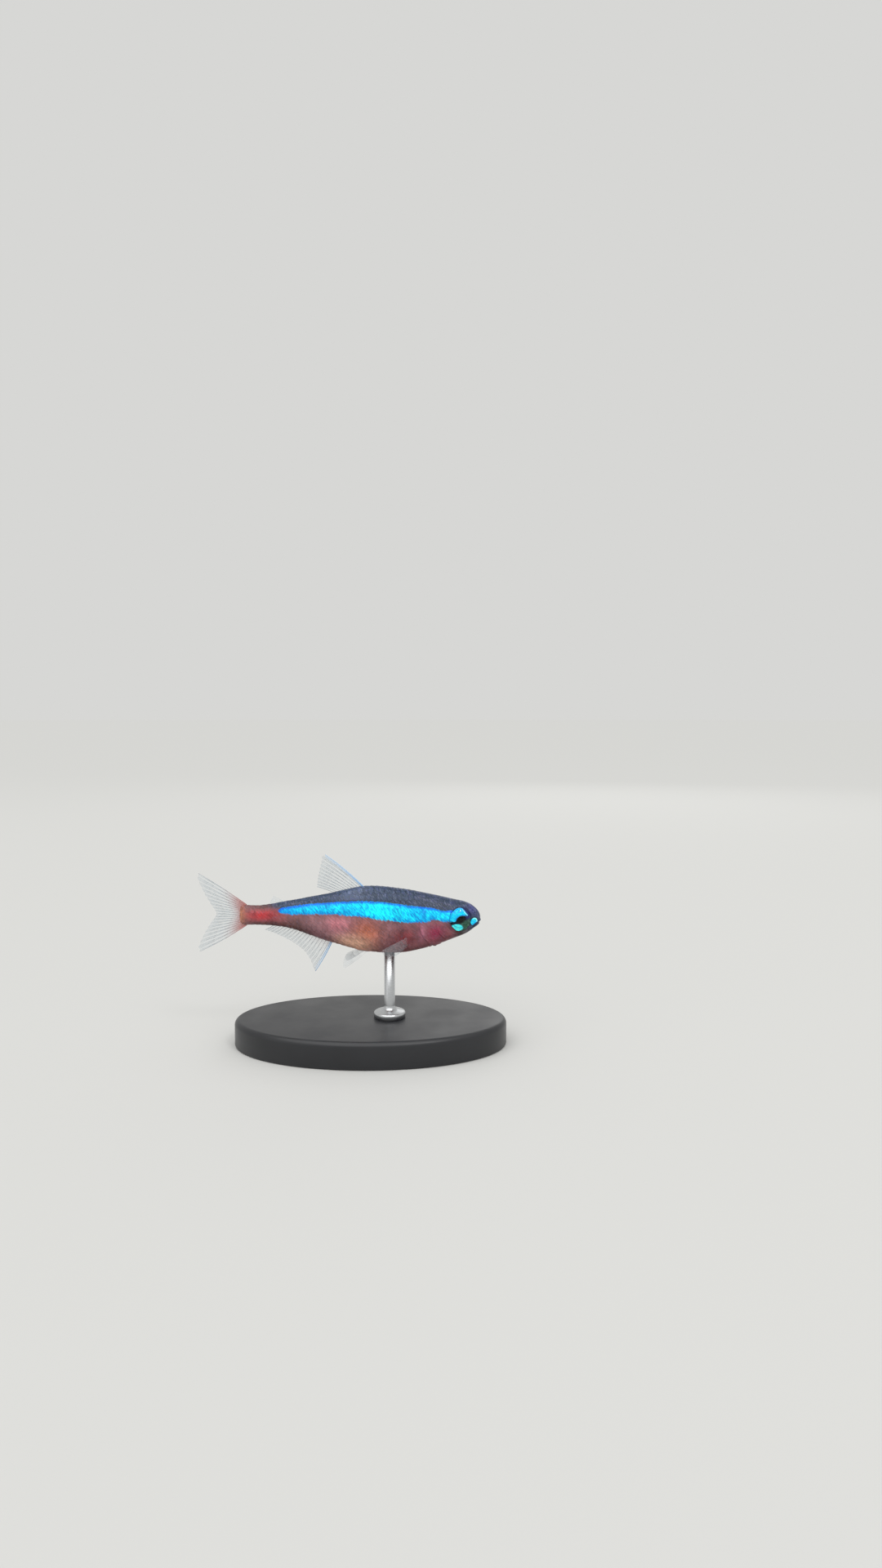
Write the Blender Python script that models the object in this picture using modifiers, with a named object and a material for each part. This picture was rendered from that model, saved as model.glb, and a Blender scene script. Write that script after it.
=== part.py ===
# A cardinal tetra, life size, held over a flat oval base by one rod.
# The fish is modelled straight in its own frame, with the snout tip at the origin, the head
# towards +X and the back towards +Z. The last step sweeps the tail and sets it on the stand.
import math

import bmesh
import bpy
import numpy as np
from mathutils import Vector

MM = 0.001

# Driving sizes
STANDARD_LENGTH = 32.0 * MM  # snout tip to the root of the tail fin
GAP = 0.3 * MM  # between pieces that touch
SNOUT_X = 14.5 * MM  # where the snout stands over the base
AXIS_HEIGHT = 17.0 * MM  # the fish's long axis above the floor

# Distance from the snout, back above the axis, belly below the axis, half width, in mm
BODY_STATIONS = (
    (0.0, 1.85, 1.80, 1.30),
    (2.5, 2.14, 2.50, 1.80),
    (6.0, 2.90, 3.80, 2.10),
    (10.0, 3.65, 4.70, 2.30),
    (15.0, 4.05, 4.55, 2.15),
    (20.0, 3.05, 3.30, 1.65),
    (26.0, 1.90, 1.45, 1.00),
    (29.5, 1.30, 1.25, 0.72),
    (32.0, 1.35, 1.35, 0.52),
)
BODY_RINGS = 64
BODY_SEGMENTS = 36
NOSE_ROUND = 2.8 * MM  # length over which the snout closes
TAIL_ROUND = 0.9 * MM  # length over which the tail stalk closes
NOSE_TIP_Z = -0.1 * MM
TAIL_TIP_Z = 0.0 * MM
WIDEST_LEVEL = 0.25  # share of the way from the axis to the middle of back and belly, doubled
BACK_SHARPNESS = 1.15  # over 1 narrows the back
BELLY_SHARPNESS = 0.92  # under 1 fills the belly

# The tail's sweep to the left as the fish swims
SWEEP_START = 13.0 * MM
SWEEP_END = 40.0 * MM
SWEEP_ANGLE = math.radians(10)

# Head
EYE_CENTRE = (2.66 * MM, -0.03 * MM)  # behind the snout, above the axis
EYE_RADIUS = 1.48 * MM
EYE_FRONT_Y = 2.0 * MM  # how far out the pupil reaches
EYE_DEPTH = 1.2 * MM
EYE_TOE = math.radians(10)  # the eyes look a little forward, as the head narrows
PUPIL_RADIUS = 0.62 * MM
EYE_SEGMENTS = 28
NOSTRILS = ((0.75 * MM, 0.66 * MM, 0.17 * MM), (1.05 * MM, 0.95 * MM, 0.19 * MM))  # back, up, radius
MOUTH_TIP_Z = -0.7 * MM
MOUTH_SLOPE = -0.55  # fall of the mouth line for each unit back
MOUTH_LENGTH = 1.7 * MM
LIP_RADIUS = 0.36 * MM
LIP_PROUD = 0.2 * MM  # how far the lips stand out of the skin
THROAT = (3.6 * MM, -3.6 * MM)
GILL_CENTRE = (4.6 * MM, -0.7 * MM)  # centre of the gill cover's round rear edge
GILL_RADIUS = 3.35 * MM
GILL_TOP = 1.5 * MM
GILL_BOTTOM = -3.1 * MM
GILL_FRONT = 5.2 * MM
GILL_INNER_Y = 1.15 * MM
GILL_PROUD = 0.14 * MM
NAPE = (6.6 * MM, 5.0 * MM)
STALK_START = 27.3 * MM  # where the tail stalk begins

# Fins
MEMBRANE = 0.56 * MM
RAY = 0.8 * MM
FIN_MARGIN = 0.65  # thickness at the free edge as a share of that at the root
ROOT_DEPTH = 0.7 * MM  # how deep a fin's root starts inside the body
RIDGE_HALF = 0.26  # half the width of a ray's ridge as a share of the ray spacing

# Stand
BASE_LENGTH = 36.0 * MM
BASE_WIDTH = 21.0 * MM
BASE_THICKNESS = 3.5 * MM
BASE_EDGE = 0.7 * MM
ROD_RADIUS = 0.7 * MM
ROD_FROM_SNOUT = 12.0 * MM
FOOT_RADIUS = 2.1 * MM
FOOT_HEIGHT = 0.6 * MM


def smooth_through(stations, column, at):
    """A cubic Hermite curve through one column of the stations, read at the distances in at."""
    table = np.array(stations) * MM
    places, values = table[:, 0], table[:, column]
    slopes = np.gradient(values, places)
    i = np.clip(np.searchsorted(places, at) - 1, 0, len(places) - 2)
    width = places[i + 1] - places[i]
    t = np.clip((at - places[i]) / width, 0, 1)
    return (
        values[i] * (2 * t**3 - 3 * t**2 + 1)
        + values[i + 1] * (3 * t**2 - 2 * t**3)
        + slopes[i] * width * (t**3 - 2 * t**2 + t)
        + slopes[i + 1] * width * (t**3 - t**2)
    )


def back_height(s):
    return smooth_through(BODY_STATIONS, 1, np.asarray(s, float))


def belly_depth(s):
    return smooth_through(BODY_STATIONS, 2, np.asarray(s, float))


def body_points(s, angle):
    """Points of the straight body's skin: s behind the snout, angle from the back over the right side."""
    back, belly, half = (smooth_through(BODY_STATIONS, c, s) for c in (1, 2, 3))
    middle = (back - belly) * WIDEST_LEVEL
    c, e = np.cos(angle), np.sin(angle)
    height = np.where(c > 0, back - middle, belly + middle)
    power = np.where(c > 0, BACK_SHARPNESS, BELLY_SHARPNESS)
    y = -half * np.sign(e) * np.abs(e) ** power
    z = middle + height * c
    nose = np.sqrt(1 - np.clip(1 - s / NOSE_ROUND, 0, 1) ** 2)
    tail = np.sqrt(1 - np.clip((s - STANDARD_LENGTH) / TAIL_ROUND + 1, 0, 1) ** 2)
    z = NOSE_TIP_Z + (z - NOSE_TIP_Z) * nose
    z = TAIL_TIP_Z + (z - TAIL_TIP_Z) * tail
    return np.stack([-s, y * nose * tail, z], axis=-1)


def flank_y(s, z):
    """How far out the body's skin is at a distance behind the snout and a height."""
    angles = np.linspace(0, math.pi, 181)
    ring = body_points(np.full(181, s), angles)
    return float(np.interp(-z, -ring[:, 2], -ring[:, 1]))


# Objects and cuts


def collection_of(name, hidden=False):
    made = bpy.data.collections.new(name)
    bpy.context.scene.collection.children.link(made)
    made.hide_render = hidden
    return made


def add_object(name, mesh, collection):
    obj = bpy.data.objects.new(name, mesh)
    collection.objects.link(obj)
    if collection.hide_render:
        obj.hide_render = True
        obj.display_type = "WIRE"
    return obj


def mesh_from(bm, name):
    """A closed mesh with its faces turned outward."""
    bmesh.ops.recalc_face_normals(bm, faces=bm.faces)
    if bm.calc_volume(signed=True) < 0:
        bmesh.ops.reverse_faces(bm, faces=bm.faces)
    mesh = bpy.data.meshes.new(name)
    bm.to_mesh(mesh)
    bm.free()
    return mesh


def bake(obj):
    """Applies all of an object's modifiers to its mesh."""
    graph = bpy.context.evaluated_depsgraph_get()
    bm = bmesh.new()
    bm.from_mesh(bpy.data.meshes.new_from_object(obj.evaluated_get(graph)))
    obj.modifiers.clear()
    obj.data = mesh_from(bm, obj.name)
    return obj


def boolean(obj, operation, *others):
    """Cuts or joins with each of the others in turn. Where a solver returns nothing, the next runs."""
    for other in others:
        before = obj.data
        for solver in ("EXACT", "MANIFOLD"):
            obj.data = before
            modifier = obj.modifiers.new(operation.title(), "BOOLEAN")
            modifier.operation = operation
            modifier.object = other
            modifier.solver = solver
            bake(obj)
            if obj.data.polygons:
                break
    return obj


def copy_of(obj, name, collection):
    return add_object(name, obj.data.copy(), collection)


def keep_largest_body(obj):
    """Drops the loose scraps that a cut can leave."""
    bm = bmesh.new()
    bm.from_mesh(obj.data)
    bmesh.ops.remove_doubles(bm, verts=bm.verts, dist=0.001 * MM)
    left, islands = set(bm.verts), []
    while left:
        island, front = set(), [left.pop()]
        while front:
            vertex = front.pop()
            island.add(vertex)
            near = {e.other_vert(vertex) for e in vertex.link_edges} & left
            left -= near
            front.extend(near)
        islands.append(island)
    islands.sort(key=len)
    scraps = [v for island in islands[:-1] for v in island]
    bmesh.ops.delete(bm, geom=scraps, context="VERTS")
    bm.to_mesh(obj.data)
    bm.free()
    return obj


def prism(name, outline, y_low, y_high, collection):
    """A side-view outline of (distance behind the snout, height) points, carried across the fish."""
    curve = bpy.data.curves.new(name, "CURVE")
    curve.dimensions = "2D"
    curve.fill_mode = "BOTH"
    curve.extrude = (y_high - y_low) / 2
    spline = curve.splines.new("POLY")
    spline.points.add(len(outline) - 1)
    spline.use_cyclic_u = True
    for point, (s, z) in zip(spline.points, outline):
        point.co = (-s, z, 0, 1)
    drawn = add_object(name + "_outline", curve, collection)
    graph = bpy.context.evaluated_depsgraph_get()
    flat = bpy.data.meshes.new_from_object(drawn.evaluated_get(graph))
    bpy.data.objects.remove(drawn)
    bm = bmesh.new()
    bm.from_mesh(flat)
    bmesh.ops.remove_doubles(bm, verts=bm.verts, dist=0.001 * MM)
    for vertex in bm.verts:
        x, z, across = vertex.co
        vertex.co = (x, (y_low + y_high) / 2 - across, z)
    return add_object(name, mesh_from(bm, name), collection)


def arc(centre, radius, start, end, count):
    """Points on a circle in the side view, its angles from straight back towards the back fin."""
    turns = np.radians(np.linspace(start, end, count))
    return [(centre[0] + radius * math.cos(a), centre[1] + radius * math.sin(a)) for a in turns]


# Body pieces


def whole_body(name, collection):
    """A sphere primitive carried onto the body's skin, its poles at the snout and the tail root."""
    bm = bmesh.new()
    bmesh.ops.create_uvsphere(bm, u_segments=BODY_SEGMENTS, v_segments=BODY_RINGS, radius=1)
    start = np.array([v.co for v in bm.verts])
    s = STANDARD_LENGTH * (1 - np.clip(start[:, 2], -1, 1)) / 2
    for vertex, place in zip(bm.verts, body_points(s, np.arctan2(start[:, 1], start[:, 0]))):
        vertex.co = place
    return add_object(name, mesh_from(bm, name), collection)


def grown(obj, name, by, collection):
    """A copy of a body whose skin lies further out."""
    copy = copy_of(obj, name, collection)
    modifier = copy.modifiers.new("Grow", "DISPLACE")
    modifier.direction = "NORMAL"
    modifier.mid_level = 0
    modifier.strength = by
    return bake(copy)


def head_outline(clearance):
    """Side view of all that lies before the gill covers' rear edges and the nape."""
    rear = arc(GILL_CENTRE, GILL_RADIUS + clearance, -62, 38, 15)
    far = 6 * MM
    lowest = rear[0]
    return [
        (-far, -far),
        (lowest[0] - 0.8 * MM, -far),
        *rear,
        (NAPE[0] + clearance, NAPE[1]),
        (-far, NAPE[1]),
    ]


def gill_outline(clearance):
    """Side view of one gill cover. Its rear runs past the head, which ends it."""
    rear = GILL_CENTRE[0] + GILL_RADIUS + 1.5 * MM
    middle = (GILL_TOP + GILL_BOTTOM) / 2
    half = (GILL_TOP - GILL_BOTTOM) / 2 + clearance
    front = arc((GILL_FRONT + half - clearance, middle), half, 270, 90, 15)
    return [(rear, middle + half), (rear, middle - half), *front]


def jaw_outline(clearance):
    """Side view of the lower jaw, under the mouth line and before the throat."""
    reach = 1.5 * MM
    corner_z = MOUTH_TIP_Z + MOUTH_SLOPE * MOUTH_LENGTH
    return [
        (-reach, MOUTH_TIP_Z - MOUTH_SLOPE * reach + clearance),
        (MOUTH_LENGTH + clearance * 0.8, corner_z + clearance * 0.75),
        (THROAT[0] + clearance, THROAT[1]),
        (-reach, THROAT[1]),
    ]


def lip_roll(collection):
    """A round roll along the mouth line, from corner to corner, later parted into two lips."""
    reach = np.linspace(0, MOUTH_LENGTH, 300)
    below = body_points(reach, np.full(300, math.pi))[:, 2] < MOUTH_TIP_Z + GAP / 2
    front = reach[np.argmax(below)]
    turn = np.linspace(-1, 1, 15)
    s = front + (MOUTH_LENGTH - front) * turn**2
    z = MOUTH_TIP_Z + GAP / 2 + MOUTH_SLOPE * s
    y = np.sign(turn) * [flank_y(a, b) for a, b in zip(s, z)]
    ahead = np.gradient(np.stack([-s, y], axis=-1), axis=0)
    ahead /= np.linalg.norm(ahead, axis=-1, keepdims=True)
    sunk = LIP_RADIUS - LIP_PROUD
    route = np.stack([-s - ahead[:, 1] * sunk, y + ahead[:, 0] * sunk, z], axis=-1)
    curve = bpy.data.curves.new("lip_roll", "CURVE")
    curve.dimensions = "3D"
    curve.bevel_depth = LIP_RADIUS
    curve.bevel_resolution = 2
    curve.use_fill_caps = True
    spline = curve.splines.new("POLY")
    spline.points.add(len(route) - 1)
    for point, place, t in zip(spline.points, route, turn):
        point.co = (*place, 1)
        point.radius = 1 - 0.5 * t**6
    drawn = add_object("lip_route", curve, collection)
    graph = bpy.context.evaluated_depsgraph_get()
    tube = bpy.data.meshes.new_from_object(drawn.evaluated_get(graph))
    bpy.data.objects.remove(drawn)
    bm = bmesh.new()
    bm.from_mesh(tube)
    bmesh.ops.remove_doubles(bm, verts=bm.verts, dist=0.001 * MM)
    return add_object("lip_roll", mesh_from(bm, "lip_roll"), collection)


def turned(name, profile, steps, collection):
    """A closed solid of revolution about Z. The profile runs (radius, height) from top to bottom."""
    bm = bmesh.new()
    ring = [bm.verts.new((r, 0, z)) for r, z in profile]
    for a, b in zip(ring, ring[1:]):
        bm.edges.new((a, b))
    mesh = bpy.data.meshes.new(name)
    bm.to_mesh(mesh)
    bm.free()
    obj = add_object(name, mesh, collection)
    screw = obj.modifiers.new("Screw", "SCREW")
    screw.axis = "Z"
    screw.steps = screw.render_steps = steps
    screw.use_merge_vertices = True
    screw.merge_threshold = 0.001 * MM
    return bake(obj)


def face_sideways(obj, side):
    """Turns a shape that was turned about Z so that its top looks out of the fish at one eye."""
    outward = Vector((math.sin(EYE_TOE), side * math.cos(EYE_TOE), 0))
    forward = Vector((math.cos(EYE_TOE), -side * math.sin(EYE_TOE), 0))
    front = Vector((-EYE_CENTRE[0], side * EYE_FRONT_Y, EYE_CENTRE[1]))
    for vertex in obj.data.vertices:
        x, y, up = vertex.co
        vertex.co = front + forward * x + outward * up + Vector((0, 0, -side * y))
    obj.data.update()
    return obj


def eye(name, side, collection):
    """A flat ball with the lens standing out of the pupil and a shallow step round it."""
    r, p = EYE_RADIUS, PUPIL_RADIUS
    profile = [(0, 0)]
    profile += [(p * math.sin(a), -0.16 * MM * (1 - math.cos(a))) for a in np.radians((30, 60, 90))]
    profile += [
        (p + 0.07 * MM, -0.24 * MM),
        (r * 0.72, -0.3 * MM),
        (r * 0.92, -0.44 * MM),
        (r, -0.66 * MM),
        (r * 0.94, -0.92 * MM),
        (r * 0.6, -EYE_DEPTH),
        (0, -EYE_DEPTH - 0.05 * MM),
    ]
    return face_sideways(turned(name, profile, EYE_SEGMENTS, collection), side)


def eye_socket(side, collection):
    """The room that the eye and its gap take from the head, open to the outside."""
    r = EYE_RADIUS + GAP
    profile = [
        (0, 1.5 * MM),
        (r, 1.5 * MM),
        (r, -0.75 * MM),
        (r * 0.94, -0.92 * MM - GAP),
        (r * 0.62, -EYE_DEPTH - GAP),
        (0, -EYE_DEPTH - 0.05 * MM - GAP),
    ]
    socket = turned(f"socket_{side}", profile, EYE_SEGMENTS, collection)
    return face_sideways(socket, side)


def nostril(s, z, radius, side, collection):
    """A ball that leaves a pit where it meets the snout."""
    bm = bmesh.new()
    bmesh.ops.create_uvsphere(bm, u_segments=12, v_segments=8, radius=radius)
    centre = Vector((-s, side * (flank_y(s, z) + radius * 0.25), z))
    bmesh.ops.translate(bm, verts=bm.verts, vec=centre)
    name = f"nostril_{side}_{round(s / MM, 2)}"
    return add_object(name, mesh_from(bm, name), collection)


# Fins


def ray_columns(rays):
    """(places across the fin from 0 to 1, whether each is a ray's crest), three places to a ray."""
    places = [0.0]
    for i in range(rays - 1):
        places += [i + RIDGE_HALF, i + 1 - RIDGE_HALF, i + 1]
    crest = [abs(p - round(p)) < 0.01 for p in places]
    return np.array(places) / (rays - 1), np.array(crest)


def fin(name, rays, rows, place, trunk_grown, collection):
    """A ribbed sheet. place(u, v) gives points for u across the rays and v from root to edge."""
    across, crest = ray_columns(rays)
    bm = bmesh.new()
    bmesh.ops.create_grid(bm, x_segments=len(across) - 1, y_segments=rows, size=0.5)
    start = np.array([v.co for v in bm.verts])
    column = np.rint((start[:, 0] + 0.5) * (len(across) - 1)).astype(int)
    v = start[:, 1] + 0.5
    for vertex, point in zip(bm.verts, place(across[column], v)):
        vertex.co = point
    bmesh.ops.triangulate(bm, faces=bm.faces, quad_method="FIXED")
    mesh = bpy.data.meshes.new(name)
    bm.to_mesh(mesh)
    bm.free()
    obj = add_object(name, mesh, collection)
    group = obj.vertex_groups.new(name="thickness")
    thick = np.where(crest[column], 1.0, MEMBRANE / RAY) * (1 - (1 - FIN_MARGIN) * v**3)
    for i, weight in enumerate(thick):
        group.add([i], float(weight), "REPLACE")
    shell = obj.modifiers.new("Thickness", "SOLIDIFY")
    shell.thickness = RAY
    shell.offset = 0
    shell.vertex_group = group.name
    shell.thickness_vertex_group = 0
    bake(obj)
    obj.vertex_groups.clear()
    boolean(obj, "DIFFERENCE", trunk_grown)
    return keep_largest_body(obj)


def along(ray_start, heading, length, bow, v):
    """Points v of the way along rays that leave their roots at a heading and bow as they go."""
    direction = heading / np.linalg.norm(heading, axis=-1, keepdims=True)
    return ray_start + (direction * v[:, None] + bow * (v**2)[:, None]) * length[:, None]


def blend(first, last, u):
    """Vectors that go from first to last with u."""
    return np.asarray(first) * (1 - u)[:, None] + np.asarray(last) * u[:, None]


def back_fin_place(u, v):
    s = 14.8 * MM + 3.5 * MM * u
    root = np.stack([-s, 0 * s, back_height(s) - ROOT_DEPTH], axis=-1)
    length = ROOT_DEPTH + (7.4 - 4.7 * u**0.85 - 0.5 * np.exp(-u / 0.03)) * MM
    heading = blend((-0.69, 0, 0.73), (-0.88, 0, 0.42), u)
    return along(root, heading, length, np.array([[-0.06, 0.02, -0.09]]), v)


def anal_fin_place(u, v):
    s = 19.3 * MM + 7.1 * MM * u
    root = np.stack([-s, 0 * s, ROOT_DEPTH - belly_depth(s)], axis=-1)
    length = ROOT_DEPTH + (1.75 + 3.3 * np.exp(-u / 0.2) - 0.35 * np.exp(-u / 0.02)) * MM
    heading = blend((-0.40, 0, -0.92), (-0.82, 0, -0.56), u)
    return along(root, heading, length, np.array([[-0.08, 0.02, 0.05]]), v)


def tail_fin_place(u, v):
    """Both lobes in one sheet: u runs from the lower leading edge over the fork to the upper one."""
    side = 2 * u - 1
    spread = np.abs(side)
    s = STANDARD_LENGTH - (0.95 + 0.35 * spread) * MM
    half = np.where(side > 0, back_height(s), belly_depth(s)) - 0.15 * MM
    root = np.stack([-s, 0 * s, TAIL_TIP_Z + side * half], axis=-1)
    rounded = 0.5 * MM * np.clip(spread - 0.88, 0, 1) / 0.12
    length = (4.2 + 4.8 * spread**1.4) * MM - rounded
    slope = np.radians(34) * side
    heading = np.stack([-np.cos(slope), 0 * u, np.sin(slope)], axis=-1)
    bow = np.stack([-0.03 + 0 * u, 0.05 + 0 * u, -0.06 * side], axis=-1)
    return along(root, heading, length, bow, v)


def fatty_fin_place(u, v):
    s = 25.2 * MM + 1.1 * MM * u
    root = np.stack([-s, 0 * s, back_height(s) - ROOT_DEPTH], axis=-1)
    length = ROOT_DEPTH + (1.9 - 0.9 * u) * MM
    heading = blend((-0.78, 0, 0.62), (-0.97, 0, 0.25), u)
    return along(root, heading, length, np.array([[-0.05, 0, -0.12]]), v)


def breast_fin_place(side):
    def place(u, v):
        s = (8.35 + 0.45 * u) * MM
        z = (-1.75 - 1.05 * u) * MM
        y = np.array([flank_y(a, b) for a, b in zip(s, z)]) - ROOT_DEPTH
        root = np.stack([-s, side * y, z], axis=-1)
        length = ROOT_DEPTH + (4.7 - 2.3 * u**1.3 - 0.4 * np.exp(-u / 0.06)) * MM
        heading = blend((-0.76, 0.50 * side, -0.36), (-0.60, 0.52 * side, -0.62), u)
        return along(root, heading, length, np.array([[-0.10, -0.10 * side, -0.02]]), v)

    return place


def belly_fin_place(side):
    def place(u, v):
        s = (14.1 + 0.9 * u) * MM
        across = (0.85 - 0.42 * u) * MM
        root = np.stack([-s, side * across, ROOT_DEPTH * 1.2 - belly_depth(s)], axis=-1)
        length = ROOT_DEPTH * 1.2 + (3.9 - 1.6 * u - 0.35 * np.exp(-u / 0.08)) * MM
        heading = blend((-0.72, 0.22 * side, -0.62), (-0.84, 0.02 * side, -0.50), u)
        return along(root, heading, length, np.array([[-0.08, 0.02 * side, 0.04]]), v)

    return place


# Pose, stand and colours


def pose(obj):
    """Sweeps the straight fish along its swimming line and lifts it over the base."""
    steps = np.linspace(0, SWEEP_END, 400)
    t = np.clip((steps - SWEEP_START) / (SWEEP_END - SWEEP_START), 0, 1)
    turn = SWEEP_ANGLE * t * t * (3 - 2 * t)
    width = steps[1]
    back = np.concatenate([[0], np.cumsum(np.cos((turn[1:] + turn[:-1]) / 2) * width)])
    left = np.concatenate([[0], np.cumsum(np.sin((turn[1:] + turn[:-1]) / 2) * width)])
    for vertex in obj.data.vertices:
        x, y, z = vertex.co
        s = max(-x, 0)
        ahead = max(x, 0)
        angle = float(np.interp(s, steps, turn))
        vertex.co = (
            SNOUT_X + ahead - float(np.interp(s, steps, back)) + y * math.sin(angle),
            float(np.interp(s, steps, left)) + y * math.cos(angle),
            AXIS_HEIGHT + z,
        )
    obj.data.update()


def stand_base(collection):
    """A flat oval with its upper edge rounded, centred on the origin."""
    bm = bmesh.new()
    bmesh.ops.create_cone(
        bm,
        cap_ends=True,
        segments=64,
        radius1=0.5,
        radius2=0.5,
        depth=1,
    )
    bmesh.ops.scale(bm, verts=bm.verts, vec=(BASE_LENGTH, BASE_WIDTH, BASE_THICKNESS))
    bmesh.ops.translate(bm, verts=bm.verts, vec=(0, 0, BASE_THICKNESS / 2))
    obj = add_object("stand_base", mesh_from(bm, "stand_base"), collection)
    edge = obj.modifiers.new("Edge", "BEVEL")
    edge.width = BASE_EDGE
    edge.segments = 3
    edge.limit_method = "ANGLE"
    edge.angle_limit = math.radians(60)
    return bake(obj)


def stand_rod(trunk_grown, collection):
    """One turned rod with a flat foot. Its top is hollowed to the belly that it carries."""
    x = SNOUT_X - ROD_FROM_SNOUT
    top = AXIS_HEIGHT - 3 * MM
    foot = BASE_THICKNESS + GAP
    profile = [
        (0, top),
        (ROD_RADIUS, top),
        (ROD_RADIUS, foot + FOOT_HEIGHT * 1.9),
        (ROD_RADIUS * 1.25, foot + FOOT_HEIGHT * 1.3),
        (FOOT_RADIUS * 0.62, foot + FOOT_HEIGHT),
        (FOOT_RADIUS * 0.93, foot + FOOT_HEIGHT * 0.85),
        (FOOT_RADIUS, foot + FOOT_HEIGHT * 0.5),
        (FOOT_RADIUS, foot),
        (0, foot),
    ]
    rod = turned("stand_rod", profile, 28, collection)
    to_fish = Vector((x - SNOUT_X, 0, -AXIS_HEIGHT))
    rod.data.transform(rod.matrix_world.Translation(to_fish))
    boolean(rod, "DIFFERENCE", trunk_grown)
    keep_largest_body(rod)
    rod.data.transform(rod.matrix_world.Translation(Vector((SNOUT_X, 0, AXIS_HEIGHT))))
    return rod


def paint(obj, name, colour, roughness, metallic=0.0):
    material = bpy.data.materials.get(name) or bpy.data.materials.new(name)
    material.use_nodes = True
    shader = material.node_tree.nodes["Principled BSDF"]
    shader.inputs["Base Color"].default_value = (*colour, 1)
    shader.inputs["Roughness"].default_value = roughness
    shader.inputs["Metallic"].default_value = metallic
    obj.data.materials.clear()
    obj.data.materials.append(material)
    obj.data.shade_smooth()
    obj.data.set_sharp_from_angle(angle=math.radians(40))


def main():
    for old in list(bpy.data.objects):
        bpy.data.objects.remove(old)
    model = collection_of("cardinal_tetra")
    cutters = collection_of("cutters", hidden=True)

    body = whole_body("body", cutters)
    near_body = grown(body, "near_body", GAP, cutters)
    proud_body = grown(body, "proud_body", GILL_PROUD, cutters)
    wide = 6 * MM
    head_block = prism("head_block", head_outline(0), -wide, wide, cutters)
    behind_head = prism("behind_head", head_outline(GAP), -wide, wide, cutters)
    stalk_box = [(STALK_START + GAP / 2, -wide), (STANDARD_LENGTH + wide, -wide)]
    stalk_box += [(s, wide) for s, _ in reversed(stalk_box)]
    stalk_block = prism("stalk_block", stalk_box, -wide, wide, cutters)
    trunk_end = prism("trunk_end", [(s - GAP, z) for s, z in stalk_box], -wide, wide, cutters)
    jaw_block = prism("jaw_block", jaw_outline(0), -wide, wide, cutters)
    jaw_room = prism("jaw_room", jaw_outline(GAP), -wide, wide, cutters)

    flesh = []
    trunk = boolean(copy_of(body, "trunk", model), "DIFFERENCE", behind_head, trunk_end)
    stalk = boolean(copy_of(body, "tail_stalk", model), "INTERSECT", stalk_block)
    lipped = boolean(copy_of(body, "lipped", cutters), "UNION", lip_roll(cutters))
    head = boolean(copy_of(lipped, "head", model), "INTERSECT", head_block)
    jaw = boolean(copy_of(lipped, "lower_jaw", model), "INTERSECT", jaw_block)
    boolean(head, "DIFFERENCE", jaw_room)
    flesh += [trunk, stalk, head, jaw]

    eyes = []
    for side, word in ((-1, "right"), (1, "left")):
        room = [eye_socket(side, cutters)]
        room += [nostril(s, z, r, side, cutters) for s, z, r in NOSTRILS]
        boolean(head, "DIFFERENCE", *room)
        eyes.append(eye(f"eye_{word}", side, model))
        low, high = sorted((side * GILL_INNER_Y, side * wide))
        plate_block = prism(f"plate_block_{word}", gill_outline(0), low, high, cutters)
        cover = copy_of(proud_body, f"gill_cover_{word}", model)
        boolean(cover, "INTERSECT", plate_block, head_block)
        flesh.append(cover)
        low, high = sorted((side * (GILL_INNER_Y - GAP), side * wide))
        plate_room = prism(f"plate_room_{word}", gill_outline(GAP), low, high, cutters)
        boolean(head, "DIFFERENCE", plate_room)
    for piece in flesh:
        keep_largest_body(piece)

    fins = [
        fin("dorsal_fin", 10, 5, back_fin_place, near_body, model),
        fin("anal_fin", 17, 4, anal_fin_place, near_body, model),
        fin("caudal_fin", 17, 6, tail_fin_place, near_body, model),
        fin("adipose_fin", 4, 4, fatty_fin_place, near_body, model),
    ]
    for side, word in ((-1, "right"), (1, "left")):
        place = breast_fin_place(side)
        fins.append(fin(f"pectoral_fin_{word}", 9, 4, place, near_body, model))
        place = belly_fin_place(side)
        fins.append(fin(f"pelvic_fin_{word}", 7, 4, place, near_body, model))

    for piece in flesh + eyes + fins:
        pose(piece)
    rod = stand_rod(near_body, model)
    base = stand_base(model)

    for piece in (trunk, stalk):
        paint(piece, "skin_red", (0.42, 0.09, 0.08), 0.35)
    for piece in flesh[2:]:
        paint(piece, "skin_head", (0.20, 0.16, 0.17), 0.35)
    for piece in eyes:
        paint(piece, "eye", (0.02, 0.25, 0.30), 0.1)
    for piece in fins:
        paint(piece, "fin", (0.62, 0.66, 0.66), 0.4)
    paint(rod, "steel", (0.55, 0.56, 0.57), 0.25, 1.0)
    paint(base, "base", (0.05, 0.05, 0.055), 0.4)


main()
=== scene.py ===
import math
from functools import partial

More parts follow.
